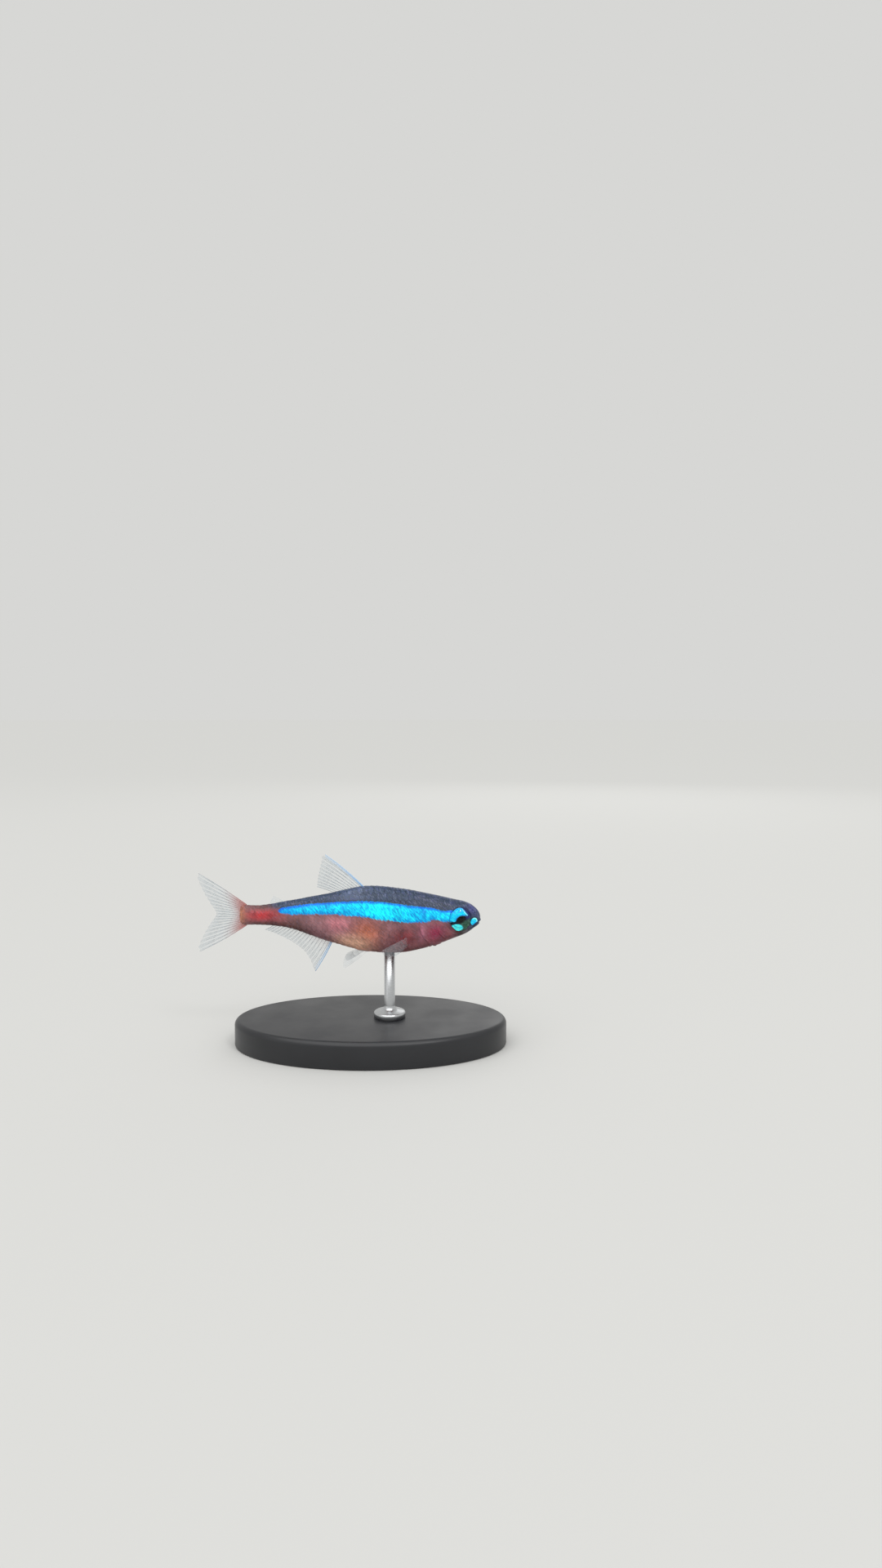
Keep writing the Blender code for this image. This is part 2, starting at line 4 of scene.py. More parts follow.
import bpy
import numpy as np
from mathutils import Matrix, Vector


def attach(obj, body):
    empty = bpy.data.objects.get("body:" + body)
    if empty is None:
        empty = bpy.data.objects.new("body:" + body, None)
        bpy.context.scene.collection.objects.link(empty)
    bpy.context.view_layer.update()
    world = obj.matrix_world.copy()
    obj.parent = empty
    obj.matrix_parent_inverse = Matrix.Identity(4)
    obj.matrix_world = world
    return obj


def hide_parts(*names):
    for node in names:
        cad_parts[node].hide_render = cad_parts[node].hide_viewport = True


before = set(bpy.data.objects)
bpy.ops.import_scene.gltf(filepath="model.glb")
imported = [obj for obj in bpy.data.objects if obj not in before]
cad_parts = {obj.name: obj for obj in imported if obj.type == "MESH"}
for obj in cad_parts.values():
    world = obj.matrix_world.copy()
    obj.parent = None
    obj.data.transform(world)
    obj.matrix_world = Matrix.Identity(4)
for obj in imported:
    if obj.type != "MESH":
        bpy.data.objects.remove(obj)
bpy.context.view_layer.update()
print("frame loaded:", len(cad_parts), "solids")

mm = 0.001

# The fish is shaped straight, in millimetres: s runs back from the snout tip, y to its left, z up.
fish = {
    "length": 32.0,  # snout tip to the root of the tail fin
    "snoutX": 14.5,
    "axisHeight": 17.0,
    # s, back above the axis, belly below it, half width
    "stations": (
        (0.0, 1.85, 1.80, 1.30),
        (2.5, 2.14, 2.50, 1.80),
        (6.0, 2.90, 3.80, 2.10),
        (10.0, 3.65, 4.70, 2.30),
        (15.0, 4.05, 4.55, 2.15),
        (20.0, 3.05, 3.30, 1.65),
        (26.0, 1.90, 1.45, 1.00),
        (29.5, 1.30, 1.25, 0.72),
        (32.0, 1.35, 1.35, 0.52),
    ),
    "noseRound": 2.8,
    "tailRound": 0.9,
    "noseTip": -0.1,
    "tailTip": 0.0,
    "tailWedge": 0.4,  # the tail root ends as an upright wedge, not as a ball
    "widestLevel": 0.25,
    "backPower": 1.15,
    "bellyPower": 0.92,
    "sweepStart": 13.0,
    "sweepEnd": 40.0,
    "sweepDegrees": 10.0,
}


# A cubic Hermite curve through one column of the stations, its slopes the central differences.
def throughStations(column, s):
    table = np.array(fish["stations"])
    at, value = table[:, 0], table[:, column]
    slope = np.gradient(value, at)
    i = np.clip(np.searchsorted(at, s) - 1, 0, len(at) - 2)
    width = at[i + 1] - at[i]
    t = np.clip((s - at[i]) / width, 0, 1)
    return (
        value[i] * (2 * t**3 - 3 * t**2 + 1)
        + value[i + 1] * (3 * t**2 - 2 * t**3)
        + slope[i] * width * (t**3 - 2 * t**2 + t)
        + slope[i + 1] * width * (t**3 - t**2)
    )


# The straight body: at each s an egg-shaped ring, cos(angle) up and sin(angle) to the right,
# closed at both ends by the square root of one minus a square.
def bodyPoint(s, angle):
    back, belly, half = (throughStations(c, s) for c in (1, 2, 3))
    middle = (back - belly) * fish["widestLevel"]
    up, out = np.cos(angle), np.sin(angle)
    height = np.where(up > 0, back - middle, belly + middle)
    power = np.where(up > 0, fish["backPower"], fish["bellyPower"])
    nose = np.sqrt(1 - np.clip(1 - s / fish["noseRound"], 0, 1) ** 2)
    tail = np.sqrt(1 - np.clip((s - fish["length"]) / fish["tailRound"] + 1, 0, 1) ** 2)
    z = middle + height * up
    z = fish["noseTip"] + (z - fish["noseTip"]) * nose
    z = fish["tailTip"] + (z - fish["tailTip"]) * tail ** fish["tailWedge"]
    y = -half * np.sign(out) * np.abs(out) ** power * nose * tail
    return np.stack([-s + 0 * z, y, z], axis=-1)


# From the straight fish to its place: the spine turns to the left past sweepStart by a smooth
# step of the angle, each point keeps its distance from it, and all is lifted over the base.
def swum(points):
    steps = np.linspace(0, fish["sweepEnd"], 400)
    t = np.clip((steps - fish["sweepStart"]) / (fish["sweepEnd"] - fish["sweepStart"]), 0, 1)
    turn = math.radians(fish["sweepDegrees"]) * t * t * (3 - 2 * t)
    middle = (turn[1:] + turn[:-1]) / 2
    back = np.concatenate([[0], np.cumsum(np.cos(middle))]) * steps[1]
    left = np.concatenate([[0], np.cumsum(np.sin(middle))]) * steps[1]
    x, y, z = np.moveaxis(np.asarray(points, float), -1, 0)
    s, ahead = np.maximum(-x, 0), np.maximum(x, 0)
    angle = np.interp(s, steps, turn)
    return mm * np.stack(
        [
            fish["snoutX"] + ahead - np.interp(s, steps, back) + y * np.sin(angle),
            np.interp(s, steps, left) + y * np.cos(angle),
            fish["axisHeight"] + z,
        ],
        axis=-1,
    )


# Rises from 0 at low to 1 at high by three squares less two cubes, and falls where low is over high.
def smoothStep(low, high, x):
    t = np.clip((x - low) / (high - low), 0, 1)
    return t * t * (3 - 2 * t)


# A bell curve: e to the power of minus the square of x over its half width.
def bump(x, width):
    return np.exp(-((x / width) ** 2))


# Vectors brought to a length of one.
def unit(v):
    return v / np.maximum(np.linalg.norm(v, axis=-1, keepdims=True), 1e-12)


# Normals of a grid of points: the cross product of its two central differences.
def gridNormals(grid, closedAcross):
    along = np.gradient(grid, axis=0)
    across = (
        np.roll(grid, -1, axis=1) - np.roll(grid, 1, axis=1)
        if closedAcross
        else np.gradient(grid, axis=1)
    )
    return unit(np.cross(along, across))


# Corner numbers of the quads of a grid of rows by columns.
def gridQuads(rows, columns, closedAcross=False):
    i = np.arange(rows - 1)[:, None]
    j = np.arange(columns if closedAcross else columns - 1)[None, :]
    k = (j + 1) % columns
    corners = i * columns + j, (i + 1) * columns + j, (i + 1) * columns + k, i * columns + k
    return np.stack(np.broadcast_arrays(*corners), axis=-1).reshape(-1, 4)


# Quads of a slab: one grid reversed, a second one over it, and a rim of quads round their border.
def slabQuads(rows, columns):
    grid, size = gridQuads(rows, columns), rows * columns
    border = np.concatenate(
        [
            np.arange(columns),
            columns * np.arange(1, rows) + columns - 1,
            (rows - 1) * columns + np.arange(columns - 2, -1, -1),
            columns * np.arange(rows - 2, 0, -1),
        ]
    )
    after = np.roll(border, -1)
    rim = np.stack([border, after, after + size, border + size], -1)
    return np.concatenate([grid[:, ::-1], grid + size, rim])


# The same faces for each of many equal parts, whose points follow one another.
def forEachPart(faces, count, size):
    return (faces[None] + size * np.arange(count)[:, None, None]).reshape(-1, faces.shape[1])


# Triangles that close the first and the last of a grid's rings with two end points numbered after it.
def endFans(rows, columns):
    j = np.arange(columns)
    k, last, size = (j + 1) % columns, (rows - 1) * columns, rows * columns
    first = np.stack([np.full(columns, size), j, k], -1)
    return np.concatenate([first, np.stack([np.full(columns, size + 1), last + k, last + j], -1)])


# Points, quads and triangles of a grid of rings that is closed by two end points.
def closedRings(rings, ends):
    rows, columns = rings.shape[:2]
    flat = np.concatenate([rings.reshape(-1, 3), ends])
    return flat, gridQuads(rows, columns, True), endFans(rows, columns)


# Writes arrays into a mesh. A closed shape whose signed volume is negative is turned outward.
def makePiece(name, points, quads, triangles, material, attributes=None, uv=None):
    points = np.asarray(points, float).reshape(-1, 3)
    quads = np.asarray(quads, int).reshape(-1, 4)
    triangles = np.asarray(triangles, int).reshape(-1, 3)
    halves = np.concatenate([quads[:, [0, 1, 2]], quads[:, [0, 2, 3]], triangles])
    a, b, c = (points[halves[:, k]] - points.mean(0) for k in range(3))
    if np.einsum("ij,ij->i", a, np.cross(b, c)).sum() < 0:
        quads, triangles = quads[:, ::-1], triangles[:, ::-1]
    mesh = bpy.data.meshes.new(name)
    mesh.vertices.add(len(points))
    mesh.vertices.foreach_set("co", points.astype(np.float32).ravel())
    corners = np.concatenate([quads.ravel(), triangles.ravel()]).astype(np.int32)
    sizes = np.concatenate([np.full(len(quads), 4), np.full(len(triangles), 3)])
    mesh.loops.add(len(corners))
    mesh.loops.foreach_set("vertex_index", corners)
    mesh.polygons.add(len(sizes))
    mesh.polygons.foreach_set("loop_start", (np.cumsum(sizes) - sizes).astype(np.int32))
    mesh.update(calc_edges=True)
    mesh.polygons.foreach_set("use_smooth", np.ones(len(sizes), bool))
    for label, values in (attributes or {}).items():
        values = np.asarray(values, np.float32)
        kind = "FLOAT" if values.ndim == 1 else "FLOAT_VECTOR"
        layer = mesh.attributes.new(label, kind, "POINT")
        layer.data.foreach_set("value" if values.ndim == 1 else "vector", values.ravel())
    if uv is not None:
        layer = mesh.uv_layers.new(name="OFBake")
        layer.data.foreach_set("uv", np.asarray(uv, np.float32)[corners].ravel())
    piece = bpy.data.objects.new(name, mesh)
    bpy.context.scene.collection.objects.link(piece)
    mesh.materials.append(material)
    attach(piece, "root")
    return piece


# Materials


# An sRGB hex value as linear red, green, blue and alpha.
def linearColour(hexValue):
    channels = [int(hexValue[i : i + 2], 16) / 255 for i in (1, 3, 5)]
    return tuple(c / 12.92 if c <= 0.04045 else ((c + 0.055) / 1.055) ** 2.4 for c in channels) + (1.0,)


# Gives a node's inputs their values or links: a dictionary by name or number, a tuple in order.
def fillInputs(tree, node, inputs):
    for key, value in inputs.items() if isinstance(inputs, dict) else enumerate(inputs):
        if isinstance(value, bpy.types.NodeSocket):
            tree.links.new(value, node.inputs[key])
        else:
            node.inputs[key].default_value = value


# Adds a node with its inputs and its own settings, and hands back its outputs.
def addNode(tree, kind, inputs=(), **settings):
    node = tree.nodes.new("ShaderNode" + kind)
    for key, value in settings.items():
        setattr(node, key, value)
    fillInputs(tree, node, inputs)
    return node.outputs


# A material with nodes, and what its maker needs: its tree, its shader and the function that adds.
def newMaterial(name):
    material = bpy.data.materials.new(name)
    material.use_nodes = True
    tree = material.node_tree
    return material, tree, tree.nodes["Principled BSDF"], partial(addNode, tree)


# Markings of skin and scales, worked out from where a point is on the straight fish.
markings = {
    # the stripe's upper and lower edge at places back from the snout, and the strength of the painted
    # highlight on it there
    "stripeAt": (3.6, 4.5, 5.3, 6.2, 7.2, 8.8, 11.0, 13.0, 15.5, 18.1, 22.0, 25.0, 26.0, 26.4, 26.6),
    "stripeTop": (1.2, 1.06, 1.18, 1.46, 1.58, 1.74, 2.04, 2.28, 2.36, 2.2, 1.86, 1.4, 1.22, 1.08, 0.8),
    "stripeLow": (-0.3, -0.36, -0.26, -0.1, -0.34, -0.42, -0.26, 0, 0.34, 0.54, 0.5, 0.42, 0.42, 0.54, 0.8),
    "stripePaintedGleam": (0.4, 0.55, 0.55, 0.4, 0.3, 0.4, 0.72, 0.8, 0.55, 0.45, 0.4, 0.28, 0.25, 0.2, 0.1),
    "noseSpot": (0.84, -0.48, 0.50, 0.56),  # back, up, half width, half height
    "eyeRing": (2.66, -0.03, 1.5, 0.7),  # dark line round the eye: back, up, radius, strength
    # lower edge of the dark back: on the head, then along the stripe
    "slateAt": (0.0, 1.4, 2.2, 3.4, 5.0, 6.5),
    "slateFrom": (-1.6, -1.3, -0.5, 0.7, 1.0, 1.4),
    # washes of colour over the flesh, in order: place back, share of the height, half widths of both,
    # strength, colour
    "washes": (
        (2.0, 0.10, 1.7, 0.30, 0.95, "chin"),
        (4.2, 0.20, 1.0, 0.16, 0.9, "cheek"),
        (5.9, 0.29, 1.35, 0.19, 1.0, "crimson"),
        # painted highlight: a pinkish rim light along the gill cover's free edge
        (7.7, 0.34, 0.45, 0.16, 0.8, "lilac"),
        (10.0, 0.28, 1.9, 0.17, 0.9, "brick"),
        (9.9, 0.02, 4.7, 0.14, 0.95, "belly"),
        (12.0, 0.42, 1.3, 0.14, 0.25, "rose"),
        (14.9, 0.33, 1.9, 0.19, 1.0, "orange"),
        (16.6, 0.11, 2.2, 0.16, 1.0, "peach"),
        (18.8, 0.43, 1.7, 0.17, 1.0, "pink"),
        (21.3, 0.44, 1.6, 0.20, 0.8, "rose"),
        (24.6, 0.40, 1.8, 0.40, 0.6, "dun"),
        (24.8, 0.06, 2.8, 0.20, 0.8, "umber"),
        (28.7, 0.52, 2.5, 0.32, 1.0, "stalk"),
        (28.6, 0.04, 2.2, 0.20, 0.8, "umber"),
        (28.4, 0.98, 2.4, 0.20, 0.85, "umber"),
        (32.1, 0.50, 1.0, 0.60, 0.95, "root"),
    ),
    # over the dark back: a sheen before the eye, the deep nape, a pale bloom before the dorsal fin
    "backWashes": (
        (1.25, 0.78, 0.7, 0.16, 0.8, "violet"),
        (5.8, 0.86, 3.0, 0.28, 0.42, "night"),
        (16.6, 0.92, 2.0, 0.16, 0.5, "slateLight"),
    ),
}
skinColours = {
    "flesh": "#90636A",
    "chin": "#262525",
    "cheek": "#90555A",
    "crimson": "#982A4C",
    "lilac": "#CC8098",
    "pink": "#E28892",
    "brick": "#84282E",
    "belly": "#915A5B",
    "orange": "#D07054",
    "peach": "#FFC2A4",
    "rose": "#B07A7E",
    "dun": "#865C58",
    "umber": "#502C1C",
    "stalk": "#CA363A",
    "root": "#C8825E",
    "slate": "#2C3F57",
    "violet": "#50508E",
    "slateLight": "#707E9C",
    "slateDeep": "#20263C",
    "gap": "#0082CC",
    "cyan": "#00BCE8",
    "cyanLight": "#10F2FF",
    "mint": "#A8FFF4",
    "blue": "#0054CC",
    "night": "#1A2238",
    "speck": "#17151F",
    # pale lilac of the painted highlights over the back
    "highlightLilac": "#9498B6",
}


# The share of one wash of colour: its strength times a bell along the fish and one over its height.
def bell(wash, s, share):
    return wash[4] * bump(s - wash[0], wash[2]) * bump(share - wash[1], wash[3])


# A ground colour moved towards a named one by an amount.
def tinted(hue, amount, name):
    colour = np.array(linearColour(skinColours[name])[:3])
    return hue * (1 - amount[..., None]) + colour * amount[..., None]


# Attributes: place is the point itself; shore the distances under the stripe's top, over its bottom
# and into the nose spot; hue the smooth ground colour; pigment the share of the dark back; and how
# strong the painted highlight along the stripe is.
def markingsAt(s, y, z):
    m = markings
    top = np.interp(s, m["stripeAt"], m["stripeTop"])
    bottom = np.interp(s, m["stripeAt"], m["stripeLow"])
    ends = np.minimum(s - m["stripeAt"][0], m["stripeAt"][-1] - s)
    back, belly = throughStations(1, s), throughStations(2, s)
    share = np.clip((z + belly) / (back + belly), 0, 1)
    a, h, wide, tall = m["noseSpot"]
    spot = wide * (1 - np.hypot((s - a) / wide, (z - h) / tall))
    spot = np.minimum(spot, z + 0.28 + 0.68 * s)  # it ends over the upper lip
    edge = np.where(s < 6.5, np.interp(s, m["slateAt"], m["slateFrom"]), top - 0.1)
    edge = np.where(s > 26.4, 1.0 + 0.1 * (s - 26.4), edge)
    slate = smoothStep(-0.25, 0.3, z - edge) * (1 - 0.8 * smoothStep(26.4, 28.5, s))
    slate = np.maximum(slate, 0.8 * smoothStep(2.2, 0.9, s))
    hue = tinted(np.zeros(s.shape + (3,)), np.ones(s.shape), "flesh")
    for wash in m["washes"]:
        hue = tinted(hue, bell(wash, s, share), wash[5])
    hue = tinted(hue, slate, "slate")
    for wash in m["backWashes"]:
        hue = tinted(hue, bell(wash, s, share) * slate, wash[5])
    a, h, opening, strength = m["eyeRing"]
    hue = tinted(hue, strength * bump(np.hypot(s - a, z - h) - opening, 0.11), "night")
    return {
        "place": np.stack([s, y, z], -1),
        "shore": np.stack([np.minimum(top - z, ends), np.minimum(z - bottom, ends), spot], -1),
        "hue": hue,
        "pigment": slate,
        "paintedGleam": np.interp(s, m["stripeAt"], m["stripePaintedGleam"]),
    }


# Wet fish skin over muscle: a soft coloured ground under a clear slime coat, with a blue stripe of
# stacked crystals that shines like metal. Clouds, streaks, dots and edges have their real sizes in mm.
def fishSkin(name, overScales):
    c = {k: linearColour(v) for k, v in skinColours.items()}
    material, tree, shader, add = newMaterial(name)
    place, shore = (add("Attribute", attribute_name=k)["Vector"] for k in ("place", "shore"))
    underTop, overBottom, inSpot = add("SeparateXYZ", (shore,))
    ground = add("Attribute", attribute_name="hue")["Color"]
    slate, paintedGleam = (add("Attribute", attribute_name=k)["Fac"] for k in ("pigment", "paintedGleam"))

    # Cloudy muscle of 1.4 mm, a grain of 0.2 mm and streaks 0.16 mm wide that fall towards the head
    clouds = add("TexNoise", {"Vector": place, "Scale": 0.7, "Detail": 4.0})[0]
    grain = add("TexNoise", {"Vector": place, "Scale": 5.0, "Detail": 3.0})[0]
    turned = add("Mapping", {"Vector": place, "Rotation": (0.0, math.radians(-48), 0.0)})[0]
    drawn = add("VectorMath", (turned, (6.0, 3.0, 1.1)), operation="MULTIPLY")[0]
    streaks = add("TexNoise", {"Vector": drawn, "Scale": 1.0, "Detail": 3.0, "Distortion": 0.4})[0]
    cloudTone = add("MapRange", (clouds, 0.3, 0.7, 0.72, 1.06))[0]
    streakTone = add("MapRange", (streaks, 0.25, 0.75, 0.7, 1.35))[0]
    tone = add("Math", (cloudTone, streakTone), operation="MULTIPLY")[0]
    mauve = add("MapRange", (grain, 0.5, 0.8, 0.0, 0.3))[0]
    violet = add("MapRange", (streaks, 0.48, 0.7, 0.0, 0.4))[0]
    violet = add("Math", (violet, slate), operation="MULTIPLY")[0]
    # Pigment cells, ragged dots of about 0.06 mm, thick on the back and thin elsewhere
    wobble = add("TexNoise", {"Vector": place, "Scale": 14.0, "Detail": 2.0})[1]
    wobble = add("VectorMath", {0: wobble, "Scale": 0.08}, operation="SCALE")[0]
    ragged = add("VectorMath", (place, wobble), operation="ADD")[0]
    dots = add("TexVoronoi", {"Vector": ragged, "Scale": 8.0})[0]
    size = add("MapRange", (clouds, 0.3, 0.7, 0.34, 0.1))[0]
    dots = add("Math", (dots, size), operation="SUBTRACT")[0]
    dots = add("MapRange", (dots, -0.04, 0.04, 1.0, 0.0))[0]
    thick = add("MapRange", {0: slate, 3: 0.12, 4: 0.55})[0]
    dots = add("Math", (dots, thick), operation="MULTIPLY")[0]

    # Stripe: its edges wander by 0.07 mm with the grain and fray along the streaks; its crystals shine
    # in strokes 0.14 mm wide, brightened by a painted highlight that varies along the fish, dim in deep
    # blue gaps and near the lower edge
    wander = add("MapRange", (grain, 0.3, 0.7, -0.07, 0.07))[0]
    fromTop = add("Math", (underTop, wander), operation="ADD")[0]
    fray = add("MapRange", (streaks, 0.3, 0.7, -0.16, 0.16))[0]
    fromBottom = add("Math", (overBottom, fray), operation="ADD")[0]
    inTop = add("MapRange", (fromTop, -0.05, 0.05))[0]
    inBottom = add("MapRange", (fromBottom, -0.06, 0.10))[0]
    stripe = add("Math", (inTop, inBottom), operation="MULTIPLY")[0]
    slant = add("Mapping", {"Vector": place, "Rotation": (0.0, math.radians(-38), 0.0)})[0]
    slant = add("VectorMath", (slant, (7.0, 2.0, 1.6)), operation="MULTIPLY")[0]
    strokes = add("TexNoise", {"Vector": slant, "Scale": 1.0, "Detail": 2.0, "Distortion": 0.3})[0]
    # Over the back the same strokes are painted highlights in pale lilac
    paintedHighlightStreaks = add("MapRange", (strokes, 0.54, 0.7, 0.0, 0.32))[0]
    paintedHighlightStreaks = add("Math", (paintedHighlightStreaks, slate), operation="MULTIPLY")[0]
    lit = add("MapRange", (strokes, 0.3, 0.7, -0.5, 0.5))[0]
    # The painted highlight along the fish lifts the stripe's brightness
    lit = add("Math", (lit, paintedGleam), operation="ADD")[0]
    patches = add("MapRange", (clouds, 0.3, 0.7, -0.14, 0.14))[0]
    lit = add("Math", (lit, patches), operation="ADD")[0]
    low = add("MapRange", (fromBottom, 0.0, 0.6, -0.4, 0.04))[0]
    lit = add("Math", (lit, low), operation="ADD")[0]
    spot = add("MapRange", (inSpot, 0.0, 0.08))[0]
    lit = add("Math", (spot, 0.65, lit), operation="MULTIPLY_ADD")[0]
    dim = add("MapRange", (lit, 0.0, 0.5))[0]
    bright = add("MapRange", (lit, 0.5, 1.0))[0]
    shine = add("Mix", {0: dim, 6: c["gap"], 7: c["cyan"]}, data_type="RGBA")[2]
    # The upper edge is a deep blue line behind the gill cover
    deep = add("MapRange", (fromTop, 0.1, 0.42, 0.95, 0.0))[0]
    deep = add("Math", (deep, stripe), operation="MULTIPLY")[0]
    # The nose spot has a painted highlight in mint along its upper front edge and painted shade in deep blue
    # under that
    gloss = add("Math", (stripe, spot), operation="MAXIMUM")[0]
    aheadUp = add("VectorMath", (place, (-0.7, 0.0, 0.7)), operation="DOT_PRODUCT")["Value"]
    aheadDown = add("VectorMath", (place, (-0.7, 0.0, -0.7)), operation="DOT_PRODUCT")["Value"]
    under = add("MapRange", (aheadDown, -0.25, 0.2, 0.0, 0.85))[0]
    under = add("Math", (under, spot), operation="MULTIPLY")[0]
    paintedHighlight = add("MapRange", (aheadUp, -0.86, -0.6))[0]
    paintedHighlight = add("Math", (paintedHighlight, spot), operation="MULTIPLY")[0]
    fade = add("MapRange", (inSpot, 0.08, 0.24, 1.0, 0.0))[0]
    paintedHighlight = add("Math", (paintedHighlight, fade), operation="MULTIPLY")[0]
    # A night-blue line borders the stripe above, and the nose spot all round
    border = add("MapRange", (fromTop, -0.22, -0.04))[0]
    over = add("MapRange", (overBottom, 0.1, 0.4))[0]
    border = add("Math", (border, over), operation="MULTIPLY")[0]
    ring = add("MapRange", (inSpot, -0.14, -0.02))[0]
    border = add("Math", (border, ring), operation="MAXIMUM")[0]
    border = add("Math", (border, 0.8), operation="MULTIPLY")[0]

    # Colours laid over the ground and over the shine, in order, each by its share
    onGround = [(mauve, "slateLight"), (violet, "violet"), (dots, "speck")]
    # the pale lilac strokes laid here are painted highlights
    onGround += [(paintedHighlightStreaks, "highlightLilac"), (border, "night")]
    # Over the shine: light cyan where the strokes and the painted highlight are bright, deep blue at the
    # upper edge, painted shade in blue under the nose spot and a painted highlight in mint over it
    onShine = [(bright, "cyanLight"), (deep, "blue"), (under, "blue"), (paintedHighlight, "mint")]
    if overScales:
        # Each scale's free edge is rimmed, with pigment on the back and with blue in the stripe
        rim = add("Attribute", attribute_name="rim")["Fac"]
        rim = add("MapRange", (rim, 0.45, 1.0))[0]
        blueRim = add("Math", (rim, 0.3), operation="MULTIPLY")[0]
        darkRim = add("MapRange", {0: slate, 3: 0.08, 4: 0.22})[0]
        darkRim = add("Math", (rim, darkRim), operation="MULTIPLY")[0]
        onGround.append((darkRim, "slateDeep"))
        onShine.append((blueRim, "blue"))
    ground = add("VectorMath", {0: ground, "Scale": tone}, operation="SCALE")[0]
    for share, colour in onGround:
        ground = add("Mix", {0: share, 6: ground, 7: c[colour]}, data_type="RGBA")[2]
    for share, colour in onShine:
        shine = add("Mix", {0: share, 6: shine, 7: c[colour]}, data_type="RGBA")[2]
    if overScales:
        # Each scale has a tone of its own
        own = add("Attribute", attribute_name="tone")["Fac"]
        ground = add("VectorMath", {0: ground, "Scale": own}, operation="SCALE")[0]
        shine = add("VectorMath", {0: shine, "Scale": own}, operation="SCALE")[0]
    # Painted glow: the stripe and the nose spot emit their own colour, though they are no lamp
    paintedGlow = add("Mix", {0: gloss, 6: (0.0, 0.0, 0.0, 1.0), 7: shine}, data_type="RGBA")[2]
    rough = add("MapRange", (grain, 0.3, 0.7, 0.28, 0.46))[0]
    relief = add("Math", (grain, streaks), operation="ADD")[0]
    finish = {
        "Base Color": add("Mix", {0: gloss, 6: ground, 7: shine}, data_type="RGBA")[2],
        "Metallic": add("Math", (gloss, 0.25), operation="MULTIPLY")[0],
        "Roughness": rough,
        "Emission Color": paintedGlow,
        "Emission Strength": 0.26,
        "Specular IOR Level": 0.28,
        "Coat Weight": 0.14,
        "Coat Roughness": 0.15,
        "Subsurface Weight": 0.15,
        "Subsurface Radius": (1.0, 0.35, 0.25),
        "Subsurface Scale": 0.5 * mm,
        "Normal": add("Bump", {"Strength": 0.3, "Distance": 0.03 * mm, "Height": relief})[0],
    }
    fillInputs(tree, shader, finish)
    return material


# Skin

head = {
    "gillCentre": (4.6, -0.7),
    "gillRadius": 3.35,
    "gillLift": 0.13,
    "cheekCentre": (3.1, -0.5),
    "cheekRadius": 2.75,
    "eyeCentre": (2.66, -0.03),
    "eyeOpening": 1.42,
    "eyeFloor": 0.6,
    "mouthTip": -0.55,  # the line between the lips at the snout, and its fall for each mm back
    "mouthSlope": -0.55,
    "mouthLength": 1.7,
    # bell curves across a line: height, place past the line, half width. The lips are two rolls and the
    # line between them, the cheek a fold and a roll, the orbit a swell with a groove under it
    "lipBells": ((0.13, 0.17, 0.11), (0.14, -0.17, 0.12), (-0.2, 0.0, 0.055)),
    "cheekBells": ((-0.055, 0.0, 0.055), (0.05, -0.15, 0.12)),
    "orbitBells": ((0.09, 0.13, 0.15),),
    "grooveBells": ((-0.05, 0.55, 0.12),),
    "nostrils": ((0.75, 0.66, 0.09), (1.05, 0.95, 0.11)),
    # raised strips, from s, z to s, z with half width and height: the fleshy feet of the pectoral and
    # pelvic fins, the upper jaw bone, the brow and the bone under the eye
    "strips": (
        ((9.2, -2.15), (9.75, -3.2), 0.42, 0.17),
        ((15.0, -4.6), (16.1, -4.4), 0.45, 0.12),
        ((0.6, -0.55), (2.2, -1.45), 0.17, 0.05),
        ((1.4, 1.5), (4.4, 1.85), 0.22, 0.05),
        ((4.5, 0.7), (5.4, -1.9), 0.2, 0.03),
    ),
}
skin = {
    "noseRings": 70,
    "headRings": 150,
    "headEnd": 9.0,  # the rings stand closer up to here
    "bodyRings": 105,
    "tailRings": 14,
    "around": 236,
}


# How far out the plain body reaches at a distance back and a height: the ring formula turned round.
def flankY(s, z):
    back, belly, half = (throughStations(c, s) for c in (1, 2, 3))
    middle = (back - belly) * fish["widestLevel"]
    nose = np.sqrt(1 - np.clip(1 - s / fish["noseRound"], 0, 1) ** 2)
    level = fish["noseTip"] + (z - fish["noseTip"]) / np.maximum(nose, 0.05) - middle
    up = np.clip(level / np.where(level > 0, back - middle, belly + middle), -1, 1)
    power = np.where(level > 0, fish["backPower"], fish["bellyPower"])
    return half * np.sqrt(1 - up**2) ** power * nose


# The sum of the bell curves of a table, each of a height, a place and a half width.
def bells(x, table):
    return sum(high * bump(x - at, wide) for high, at, wide in table)


